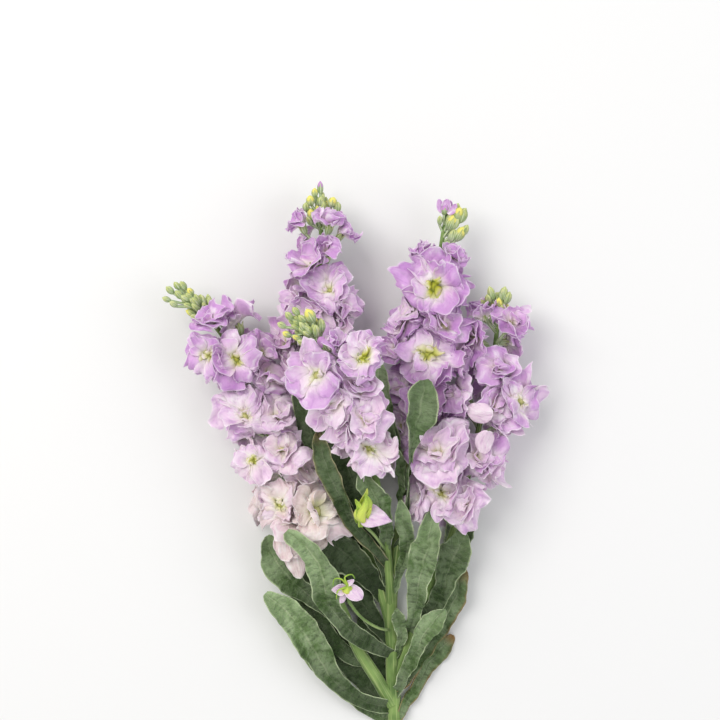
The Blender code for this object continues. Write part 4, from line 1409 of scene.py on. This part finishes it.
@dataclass(frozen=True)
class Leaf:
    """A leaf: its rib's path and full width in millimetres, and its turns in degrees along the rib.

    Fold is how steeply the blade rises from the rib. Wave height, in millimetres, and waves, a number
    along the leaf, are those of its margins. Shade is how dark it is painted, partly its own darker green
    and partly painted shade where it lies under the others, and tip how much of that is left at its tip.
    Spoon is how late the blade widens, from a narrow foot. Rolled is how far one margin has rolled up over
    the blade, 1 for the right margin as seen from the foot and -1 for the left one.
    """

    name: str
    path: tuple
    width: float
    turn: tuple = (0, 0)
    fold: float = 0.22
    wave_height: float = 1.5
    waves: float = 2.5
    shade: float = 0.25
    wear: Wear = Wear.FRESH
    spoon: float = 0.0
    tip: float = 0.8
    rolled: float = 0.0

    def frame(self, stations: np.ndarray) -> tuple:
        """Where its rib and blade are.

        The outline opens from a foot 0.4 as wide as the blade, is widest at 0.70 of the length and
        closes in an ellipse. A spoon of 1 opens later, from a narrower foot, and is widest at 0.84.

        Args:
            stations: Shares of the rib's length.

        Returns:
            The rib, the side and facing directions, the blade's half width, and that as a share.
        """
        rib = along(curve_through(mm(self.path), 60), stations)
        tangents = directions(rib)
        level = unit(np.cross(tangents, UP))
        over = np.cross(level, tangents)
        turn = np.radians(np.interp(stations, np.linspace(0, 1, len(self.turn)), self.turn))[:, None]
        side = np.cos(turn) * level + np.sin(turn) * over
        widest = 0.70 + 0.14 * self.spoon
        opens = 0.08 + 0.38 * self.spoon
        widening = np.clip((stations - opens) / (widest - opens), 0, 1) ** 1.4
        if self.spoon:
            widening = smooth(stations, opens, widest)
        foot = 0.4 - 0.2 * self.spoon
        body = foot + (1 - foot) * widening
        past = np.maximum(stations - widest, 0) / (1.004 - widest)
        half = mm(self.width) / 2 * body * np.sqrt(1 - past**2)
        return rib, side, np.cross(side, tangents), half, body

    def blade(self) -> Skin:
        """Its waved blade.

        Across it, the blade rises from the rib to both margins by the fold, and each margin swings up
        and down in long waves, out of step with the other, with short frills on them. The waves and
        frills are sines of the run along the leaf and grow with a power of the reach from the rib. The
        rib is a low ridge on the under side, and the margin curls up and down by a millimetre.

        Returns:
            Its skin.
        """
        rows, columns = 56, 15
        v = np.linspace(0, 1, rows) ** 0.95
        u = np.linspace(-1, 1, columns)
        rib, side, facing, half, body = self.frame(v)
        seed = len(self.name) + self.path[-1][1]
        hand = np.sign(u)[None]
        reach = np.abs(u)[None]
        phase = 2 * math.pi * self.waves * v[:, None]
        long_wave = 1.6 * mm(self.wave_height) * body[:, None] * np.sin(phase + hand) * reach**1.7
        frill = 0.0007 * body[:, None] * np.sin(phase * 3.3 + 2.3 * hand + seed) * reach**3
        quilt = 0.00022 * np.sin(phase * 5 - reach * 5 + seed) * np.sin(math.pi * reach)
        groove = -0.0004 * np.exp(-((u[None] / 0.10) ** 2)) * smooth(v, 0, 0.2)[:, None]
        roll = 0.0011 * smooth(reach, 0.76, 1.0) * np.sin(phase * 1.4 + 1.7 * hand + 2 * seed)
        rise = self.fold * half[:, None] * reach**1.2 + long_wave + frill + quilt + groove + roll
        rolled = np.clip(self.rolled * hand, 0, 1) * smooth(reach, 0.35, 1.0)
        rolled = rolled * (smooth(v, 0.1, 0.4) * smooth(v, 1.0, 0.8))[:, None]
        rise = rise + 0.55 * half[:, None] * rolled
        nibbled = 0.045 * np.sin(phase * 2.1 + hand * 2 + seed) + 0.02 * np.sin(phase * 5.3 - hand)
        edge = 1 + nibbled * reach
        across = half[:, None] * u[None] * (edge - 0.4 * rolled)
        places = rib[:, None] + side[:, None] * across[..., None] + facing[:, None] * rise[..., None]
        places = (places + crumpled(places)) / 2
        places[..., 2] = on_floor(places[..., 2])
        shape = places.shape[:2]
        dried = self.wear.value * np.maximum(smooth(reach, 0.78, 1.0), smooth(v, 0.86, 1.0)[:, None])
        # Painted darkness, partly the leaf's own darker green and partly painted shade, with less of it at
        # the tip
        shade = self.shade * (1 + (self.tip - 1) * smooth(v, 0.2, 0.9)[:, None])
        paint = shares(shape, reach, v[:, None], dried, shade)
        grain = shares(shape, across, travelled(rib)[:, None] + seed, 0.0)
        thin = np.broadcast_to(LEAF_HALF - MARGIN_THINNING * reach, shape)
        return sheet_skin(places[None], thin[None], paint[None], grain[None])


# Leaves that lie on the floor are flatter than the rest
LOW = {"fold": 0.15, "wave_height": 0.8}

# A shade near 1 marks the leaves deep in the mass: partly their own dark green and partly painted shade
LEAVES = (
    Leaf(
        "upper_right",
        ((1.5, 100, 13.5), (6, 118, 26), (7, 140, 40), (9, 162, 49), (14, 186, 53), (16.5, 205.5, 54)),
        20,
        (-20, -60, -54, -10, 4),
        fold=0.30,
        shade=0.75,
        spoon=1.25,
        tip=0.7,
        rolled=-0.6,
    ),
    Leaf(
        "centre_blue",
        ((5.5, 131, 18.5), (5, 144, 24), (2, 159, 29), (-4, 177, 36), (-9, 200, 39), (-11, 219, 40)),
        11,
        shade=0.3,
        tip=0.2,
    ),
    Leaf(
        "centre_narrow",
        ((4, 119, 17), (3, 132, 27), (4, 146, 34), (1, 160, 38), (-3, 176, 43)),
        8,
        (25, 50),
        shade=0.35,
    ),
    Leaf(
        "left_long",
        ((-4, 91, 17), (-14, 105, 27), (-27, 120, 34), (-34, 138, 40), (-42, 156, 43), (-47, 175, 44)),
        13,
        shade=0.85,
        wear=Wear.TIPPED,
        rolled=0.5,
    ),
    Leaf(
        "left_back",
        ((-19, 112, 13.5), (-32, 135, 20), (-45, 160, 28), (-53, 182, 33), (-58, 203, 36)),
        15,
        shade=0.9,
    ),
    Leaf(
        "left_inner",
        ((-3, 80, 13), (-12, 105, 20), (-24, 140, 27), (-34, 168, 31), (-42, 190, 33)),
        17,
        shade=0.9,
    ),
    Leaf(
        "centre_pointed",
        ((-5, 101, 20), (-6, 118, 34), (-12, 134, 42), (-21, 147, 46)),
        16,
        (0, 15),
        shade=0.48,
        rolled=-0.6,
    ),
    Leaf("centre_low", ((-1.5, 72, 9), (4, 88, 20), (7, 104, 29), (5, 120, 36), (2, 133, 40)), 10, shade=0.4),
    Leaf(
        "right_paddle",
        ((9, 45, 7), (12.5, 62, 20), (14.5, 84, 31), (19, 105, 36), (22, 124, 37)),
        19,
        shade=0.48,
        tip=0.6,
        rolled=0.5,
    ),
    Leaf("right_back", ((13, 54, 9), (24, 66, 14), (34, 90, 19), (41, 113, 24)), 19, shade=0.7),
    Leaf(
        "right_brown",
        ((0, 14, 4.5), (6, 19, 7), (18, 36, 9), (30, 57, 9), (38, 72, 10), (42, 89, 12)),
        14,
        shade=0.5,
        wear=Wear.BROWN,
        rolled=-0.6,
    ),
    Leaf(
        "right_lowest",
        ((2, -9, 4), (9, 8, 4), (21, 27, 2.6), (35.5, 47.5, 1.2)),
        11.5,
        shade=0.45,
        wear=Wear.BROWN,
        **LOW,
    ),
    Leaf(
        "right_middle",
        ((0, 9, 4.5), (5, 22, 12), (14, 41, 17), (23, 56, 19), (29, 66, 20)),
        14,
        shade=0.55,
        tip=0.4,
        rolled=0.7,
    ),
    Leaf("centre_small", ((0, 36, 5.2), (4, 44, 12), (3, 56, 17), (0, 66, 20)), 9, shade=0.45),
    Leaf(
        "left_curl",
        ((-1, 36, 5.2), (-12, 42, 16), (-26, 52, 28), (-39, 70, 36), (-44, 90, 42), (-53, 106, 45),
         (-64, 114, 44)),
        19,
        (0, 20),
        shade=0.85,
        tip=0.1,
        rolled=-0.7,
    ),
    Leaf(
        "left_up",
        ((-27, 51, 11.5), (-42, 66, 14), (-60, 80, 18), (-72, 94, 22), (-77, 110, 27)),
        18,
        shade=0.9,
        tip=0.3,
        rolled=0.6,
    ),
    Leaf(
        "left_low",
        ((0, 2, 4), (-18, 8, 10), (-36, 20, 14), (-50, 41, 16), (-63, 60, 18), (-78, 75, 22)),
        22,
        shade=0.82,
        tip=0.0,
        rolled=-0.7,
    ),
    Leaf(
        "left_lowest",
        ((1, -6, 4), (-15, 0, 4.5), (-33, 14, 3.6), (-47, 31, 2.2), (-58, 47, 1.4), (-68, 60, 2)),
        15,
        shade=0.6,
        tip=0.3,
        **LOW,
    ),
    Leaf("dark_middle", ((-7, 71, 7), (-14, 82, 14), (-27, 95, 22), (-45, 110, 27)), 24, shade=1.0, tip=0.85),
    Leaf(
        "dark_low",
        ((-1, 44, 5.4), (-9, 52, 6), (-18, 64, 5), (-26, 78, 3), (-33, 94, 1.2)),
        20,
        shade=0.95,
        **LOW,
    ),
    Leaf("dark_floor", ((-4, 62, 6.5), (-9, 84, 4), (-17, 108, 3), (-27, 134, 2.5)), 18, shade=1.0, **LOW),
    Leaf(
        "fork_floor",
        ((-2, 10, 3.8), (-6, 20, 2.5), (-11, 32, 2), (-15, 46, 1.8), (-19, 58, 1.6)),
        13,
        shade=0.95,
        **LOW,
    ),
    Leaf(
        "left_floor",
        ((-2, 0, 3.6), (-14, 12, 2.5), (-26, 28, 2), (-36, 48, 1.8), (-44, 68, 1.6)),
        22,
        shade=0.9,
        **LOW,
    ),
    Leaf(
        "left_under",
        ((-17, 31, 7.5), (-30, 37, 7), (-45, 52, 9), (-54, 72, 10), (-62, 90, 11)),
        19,
        shade=0.85,
        **LOW,
    ),
    Leaf(
        "right_under",
        ((17, 66, 10), (28, 80, 6), (36, 96, 4), (41, 114, 3), (44, 129, 2)),
        18,
        shade=0.85,
        **LOW,
    ),
)


def on_floor(heights: np.ndarray) -> np.ndarray:
    """Heights kept above the floor: under 2 mm they level out towards 0.3 mm, as an exponential.

    Args:
        heights: The heights, in metres.

    Returns:
        The new heights.
    """
    over = heights - FLOOR_GAP
    level = FLOOR_KNEE * np.exp(np.minimum(over / FLOOR_KNEE - 1, 0))
    return FLOOR_GAP + np.where(over < FLOOR_KNEE, level, over)


# Room for the petals


@dataclass
class Room:
    """Where each floret has space: between its neighbours, clear of the leaves, and above the floor.

    Clearance is kept from the middle of each blade, in metres. Laps are how far a floret may reach
    towards a lower and a higher neighbour, as shares of its part of the way, and give is how much of
    what a petal loses on that way it rises by.
    """

    florets: list[Floret]
    leaves: tuple[Leaf, ...]
    clearance: float = 0.0022
    lap_over: float = 1.45
    lap_under: float = 0.98
    give_over: float = 0.30
    give_under: float = 0.05
    frames: list = field(default_factory=list)

    def __post_init__(self) -> None:
        """Works out where the leaves are."""
        stations = np.linspace(0, 1, 40)
        self.frames = [leaf.frame(stations)[:4] for leaf in self.leaves]

    def fitted(self, points: np.ndarray, floret: Floret) -> np.ndarray:
        """Petal points moved into the floret's own room.

        A plane stands between each two florets, placed by their radii. The floret that stands higher
        laps over it, and the lower one stops a little short of it. Past 0.6 of the way to its limit, a
        point's way is shortened so that it nears the limit but never reaches it, and the petal rises by
        part of what it lost, as crowded petals do.

        Args:
            points: The points, in metres.
            floret: The floret that they belong to.

        Returns:
            The points in their new places.
        """
        points = points.copy()
        site = floret.site()
        for other in self.florets:
            away = other.site() - site
            apart = float(np.linalg.norm(away))
            if not 0 < apart < (floret.radius + other.radius) * 1.5:
                continue
            normal = away / apart
            over = away[2] - 0.002 * math.sin(7.0 * (floret.number - other.number)) < 0
            lap, give = (self.lap_over, self.give_over) if over else (self.lap_under, self.give_under)
            limit = lap * apart * floret.radius / (floret.radius + other.radius)
            way = (points - site) @ normal
            knee = 0.6 * limit
            span = limit - knee
            short = np.where(way > knee, way - knee - span * (1 - np.exp(-(way - knee) / span)), 0)
            points += short[:, None] * (give * floret.face - normal)
        return points

    def cleared(self, points: np.ndarray, floret: Floret) -> np.ndarray:
        """Petal points moved off each leaf's blade, to the side that the floret is on, and off the floor.

        A point within the blade's width moves along the blade's facing direction until it is clear, and
        within 2 mm of its margin it moves by less.

        Args:
            points: The points, in metres.
            floret: The floret that they belong to.

        Returns:
            The points in their new places.
        """
        for rib, side, facing, half in self.frames:
            closest = nearest(rib, floret.centre)
            way = floret.centre - rib[closest]
            if np.linalg.norm(way) > 2 * floret.radius:
                continue
            index = np.linalg.norm(points[:, None] - rib[None], axis=2).argmin(axis=1)
            offset = points - rib[index]
            over = (offset * facing[index]).sum(1)
            beside = np.abs((offset * side[index]).sum(1))
            hand = 1.0 if way @ facing[closest] > 0 else -1.0
            within = smooth(half[index] + 0.002 - beside, 0, 0.002)
            short = np.maximum(self.clearance - hand * over, 0) * (hand * over > -0.008)
            points = points + facing[index] * (hand * short * within)[:, None]
        points[:, 2] = on_floor(points[:, 2])
        return points


# The stem


@dataclass(frozen=True)
class Stem:
    """The main stem and its branches, which grew as one piece, in millimetres.

    Cut rings are the rings of the cut face, as shares of its radius, and knots are where leaves were, as
    shares of a stalk's length.
    """

    path: tuple = ((5, -78, 3.9), (3, -55, 3.8), (1, -25, 3.6), (0, 0, 3.4), (-1, 20, 3.9), (-1, 42, 5.4))
    cut_radius: float = 4.4
    fork_radius: float = 4.2
    tip_radius: float = 1.2
    cut_rings: tuple = (0.04, 0.5, 0.93)
    bevel: float = 0.2
    knots: tuple = (0.22, 0.47, 0.71, 0.9)

    def trunk(self) -> Skin:
        """The main stem, from its cut end to the fork."""
        return self.ribbed(curve_through(mm(self.path), 70), self.cut_radius, self.fork_radius, 24, True)

    def branch(self, branch: Branch) -> Skin:
        """One branch, tapering to its bud head."""
        return self.ribbed(branch.axis()[::2], branch.root_radius, self.tip_radius, 16, False)

    def ribbed(self, path: np.ndarray, start: float, end: float, sides: int, cut: bool) -> Skin:
        """A tapering stalk: round with five soft ribs, and swollen where leaves were.

        The radius is the straight taper times one plus a cosine of five times the turn and a few low
        bell curves along the stalk. It is flattened where it lies on the floor.

        Args:
            path: Its middle line.
            start: Its first radius, in millimetres.
            end: Its last.
            sides: How many sides each ring has.
            cut: Whether its first end is a cut face.

        Returns:
            Its skin.
        """
        rings = len(path)
        share = np.linspace(0, 1, rings)[:, None]
        turn = np.arange(sides)[None] * 2 * math.pi / sides
        taper = mm(start + (end - start) * share)
        knots = sum(np.exp(-(((share - at) / 0.02) ** 2)) for at in self.knots)
        radius = taper * (1 + 0.035 * np.cos(5 * turn + 3 * share) + 0.07 * knots)
        heading = directions(path)
        ends = len(self.cut_rings) if cut else 0
        if cut:
            # The end face is a few rings that close on the pith, and its rim is a little bevelled
            radius = np.concatenate([radius[:1] * f for f in self.cut_rings] + [radius])
            path = np.concatenate([path[:1]] * ends + [path + heading[0] * mm(self.bevel) * (share == 0)])
            heading = np.concatenate([heading[:1]] * ends + [heading])
        places = path[:, None] + spokes(heading, turn) * radius[..., None]
        places[..., 2] = np.maximum(places[..., 2], 0.0)
        run = travelled(path)[:, None]
        at_cut = (np.arange(len(path)) < ends)[:, None]
        pith = np.ones((len(path), 1))
        pith[:ends, 0] = self.cut_rings[:ends]
        paint = shares(places.shape[:2], pith, run / run[-1], at_cut, 0.0)
        grain = shares(places.shape[:2], np.cos(turn) * radius, np.sin(turn) * radius, run)
        return ring_skin(places[None], paint[None], grain[None])


@dataclass(frozen=True)
class SideBloom:
    """A single small flower on a thin stalk low on the stem: its green body, sepals and few petals.

    The lengths are in millimetres, the body's girth is a radius, and curls are the paths of the thin
    sepals that curl away from it.
    """

    name: str
    path: tuple
    body_heading: tuple
    body_length: float
    body_girth: float
    petals: tuple[Petal, ...]
    curls: tuple
    sepals: tuple[Petal, ...] = ()

    def stalk(self) -> Skin:
        """Its thin stalk."""
        return tube(curve_through(mm(self.path), 24), np.full(25, 0.0009), 10)

    def petal_skin(self) -> Skin:
        """Its few petals."""
        return join([petal.skin() for petal in self.petals])

    def green_skin(self) -> Skin:
        """Its swollen green body, twisted as it grew, and the sepals that curl away from it.

        The body's radius is a sine of its length, fullest near the foot, less three grooves that wind
        round it as its sepals do.

        Returns:
            Their skin.
        """
        sides, rings = 30, 24
        heading = unit(self.body_heading)
        start = mm(self.path[-1])
        v = np.linspace(0.02, 0.99, rings)[:, None]
        turn = np.arange(sides)[None] * 2 * math.pi / sides
        groove = 1 - np.abs(np.cos(1.5 * turn + 2.6 * v)) ** 0.6
        radius = mm(self.body_girth) * np.sin(math.pi * v**0.62) ** 0.9 * (1.2 - 0.5 * groove)
        length = mm(self.body_length)
        sway = cross_frame(heading)[0] * 0.09 * length * np.sin(6.5 * v)
        places = start + (heading * length * v + sway)[:, None] + spokes(heading, turn) * radius[..., None]
        # The grooves are painted dark, as painted shade in them, and the body darkens towards the tip
        paint = shares(radius.shape, 1 - 0.6 * v, 0.8, 0.0, 0.25 * v + 0.75 * groove)
        grain = shares(radius.shape, np.cos(turn) * radius, np.sin(turn) * radius, length * v)
        skins = [ring_skin(places[None], paint[None], grain[None])]
        for curl in self.curls:
            radii = mm(0.75 - 0.5 * np.linspace(0, 1, 15))
            skins.append(tube(curve_through(mm(curl), 14), radii, 8, 0.2))
        for sepal in self.sepals:
            skin = sepal.skin()
            skin.paint[:, 2] = 0
            skin.grain = skin.grain[:, (0, 2, 1)]
            skins.append(skin)
        return join(skins)


SIDE_BLOOMS = (
    SideBloom(
        "upper",
        ((-5, 100, 20), (-12, 111, 36), (-17, 117, 46), (-19, 120, 50)),
        (0.05, 0.93, 0.36),
        20,
        3.8,
        (Petal((-20, 126, 50), (-2.4, 121, 55), (-0.1, 0.35, 0.93), 6.4, 1.0, -1.5, 0.5),),
        (((-19, 122, 51), (-22.5, 124, 54), (-23, 129, 56)),),
        (Petal((-22, 121, 47), (-18, 142, 56), (0.5, 0, 1), 3.3, 0.9, 3.0, 0.9),
         Petal((-17, 120, 49), (-23, 136, 56), (-0.5, 0, 1), 3.0, 0.8, 2.5, 0.3),
         Petal((-21, 118.5, 49), (-15.5, 130, 55), (0.6, -0.2, 1), 2.8, 0.8, 2.0, 0.7)),
    ),
    SideBloom(
        "lower",
        ((-1, 50, 6.2), (-10, 54, 22), (-20, 62, 34), (-27, 72, 42), (-28.5, 78, 45)),
        (0.1, 0.9, 0.42),
        6.5,
        2.6,
        (Petal((-29, 79, 46), (-39, 81, 48), (0.15, 0.1, 0.98), 3.2, 0.9, 1.5),
         Petal((-28, 81, 46.5), (-20, 73, 47), (0.1, 0.2, 0.97), 5.2, 0.15, 1.0),
         Petal((-28.5, 82, 47), (-24, 87, 49), (-0.3, 0.1, 0.95), 1.7, 0.5, 1.0),
         Petal((-30, 78, 46), (-33, 73, 44), (0.1, 0.1, 0.98), 2.4, 0.2, -0.5)),
        (((-28.5, 83, 47), (-32, 87, 49), (-36, 87, 49), (-37, 83, 48)),
         ((-28, 83, 48), (-30, 88, 50), (-26, 90, 51), (-24, 87.5, 50)),
         ((-29, 82, 47), (-34, 80, 48), (-35, 75, 47))),
    ),
)


# The studio


@dataclass(frozen=True)
class Studio:
    """A plain pale floor, soft light and a camera that looks straight down.

    The view's centre, its width and the height at which it is that wide are in millimetres, as the lens
    and the sensor are. The board's half width and the place that the lights look at are in metres.
    """

    view_centre: tuple = (-21.0, 216.0)
    view_width: float = 432.0
    view_height: float = 30.0
    lens: float = 85.0
    sensor: float = 36.0
    board: float = 6.0
    lit: tuple = (-0.02, 0.15, 0.02)

    def floor(self) -> None:
        """A pale board, wide enough for every view."""
        points = [(x * self.board, y * self.board, 0) for x, y in ((-1, -1), (1, -1), (1, 1), (-1, 1))]
        mesh = bpy.data.meshes.new("floor")
        mesh.from_pydata(points, [], [(0, 1, 2, 3)])
        made = bpy.data.materials.new("pale_matt_board")
        made.use_nodes = True
        shader = made.node_tree.nodes["Principled BSDF"]
        shader.inputs["Base Color"].default_value = linear("#E8E8E8")
        shader.inputs["Roughness"].default_value = 0.9
        mesh.materials.append(made)
        board = bpy.data.objects.new("floor", mesh)
        bpy.context.scene.collection.objects.link(board)

    def light(self, name: str, place: tuple, size: float, power: float, colour: str) -> None:
        """A square soft light that looks at the spray.

        Args:
            name: Its name.
            place: Where it hangs, in metres.
            size: The length of its side, in metres.
            power: Its power, in watts.
            colour: Its colour, as a hex value.
        """
        data = bpy.data.lights.new(name, "AREA")
        data.shape = "SQUARE"
        data.size = size
        data.energy = power
        data.color = linear(colour)[:3]
        lamp = bpy.data.objects.new(name, data)
        back = unit(np.array(place) - self.lit)
        first, second = cross_frame(back)
        turned = Matrix(np.stack([first, second, back], 1).tolist()).to_4x4()
        lamp.matrix_world = Matrix.Translation(place) @ turned
        bpy.context.scene.collection.objects.link(lamp)

    def camera(self) -> None:
        """The camera over the middle of the view, with the top of the photograph towards +Y."""
        data = bpy.data.cameras.new("camera")
        data.lens = self.lens
        data.sensor_width = self.sensor
        height = mm(self.view_width) * self.lens / self.sensor + mm(self.view_height)
        eye = bpy.data.objects.new("camera", data)
        eye.location = (*mm(self.view_centre), height)
        bpy.context.scene.collection.objects.link(eye)
        bpy.context.scene.camera = eye

    def build(self) -> None:
        """Floor, lights, world and camera."""
        self.floor()
        self.light("key", (-0.9, 0.9, 1.6), 1.3, 25.0, "#FFFDF8")
        self.light("fill", (1.3, 0.1, 1.4), 1.4, 10.0, "#F6F8FF")
        world = bpy.data.worlds.new("studio")
        world.use_nodes = True
        world.node_tree.nodes["Background"].inputs[0].default_value = linear("#FFFFFF")
        world.node_tree.nodes["Background"].inputs[1].default_value = 0.60
        bpy.context.scene.world = world
        bpy.context.scene.view_settings.view_transform = "Standard"
        self.camera()


def main() -> None:
    """Builds the studio and every piece of the spray."""
    logging.basicConfig(level=logging.INFO, format="%(name)s %(message)s")
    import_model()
    Studio().build()

    stem = Stem()
    stalks = [stem.trunk(), *[stem.branch(b) for b in BRANCHES], *[s.stalk() for s in SIDE_BLOOMS]]
    add_piece("stem_and_branches", join(stalks), RIND, ("stem",))
    for leaf in LEAVES:
        add_piece(f"leaf_blade_{leaf.name}", leaf.blade(), BLADE, (f"leaf_{leaf.name}",))

    by_branch = {b.name: [*b.facing_florets(), *b.hidden_florets()] for b in BRANCHES}
    room = Room([f for florets in by_branch.values() for f in florets], LEAVES)
    for branch in BRANCHES:
        florets = by_branch[branch.name]
        petals = join([*[f.petals(room) for f in florets], *[p.skin() for p in branch.loose]])
        calyces = join([skin for f in florets for skin in (f.calyx(), f.stalk())])
        add_piece(f"petals_{branch.name}", petals, PETAL, (f"blooms_{branch.name}",))
        add_piece(f"calyces_{branch.name}", calyces, SEPAL)
        add_piece(f"buds_{branch.name}", branch.buds(), SEPAL)
    for bloom in SIDE_BLOOMS:
        node = f"side_bloom_{bloom.name}"
        add_piece(f"side_petals_{bloom.name}", bloom.petal_skin(), PETAL, (node,))
        add_piece(f"side_sepals_{bloom.name}", bloom.green_skin(), LIME)


if __name__ == "__main__":
    main()
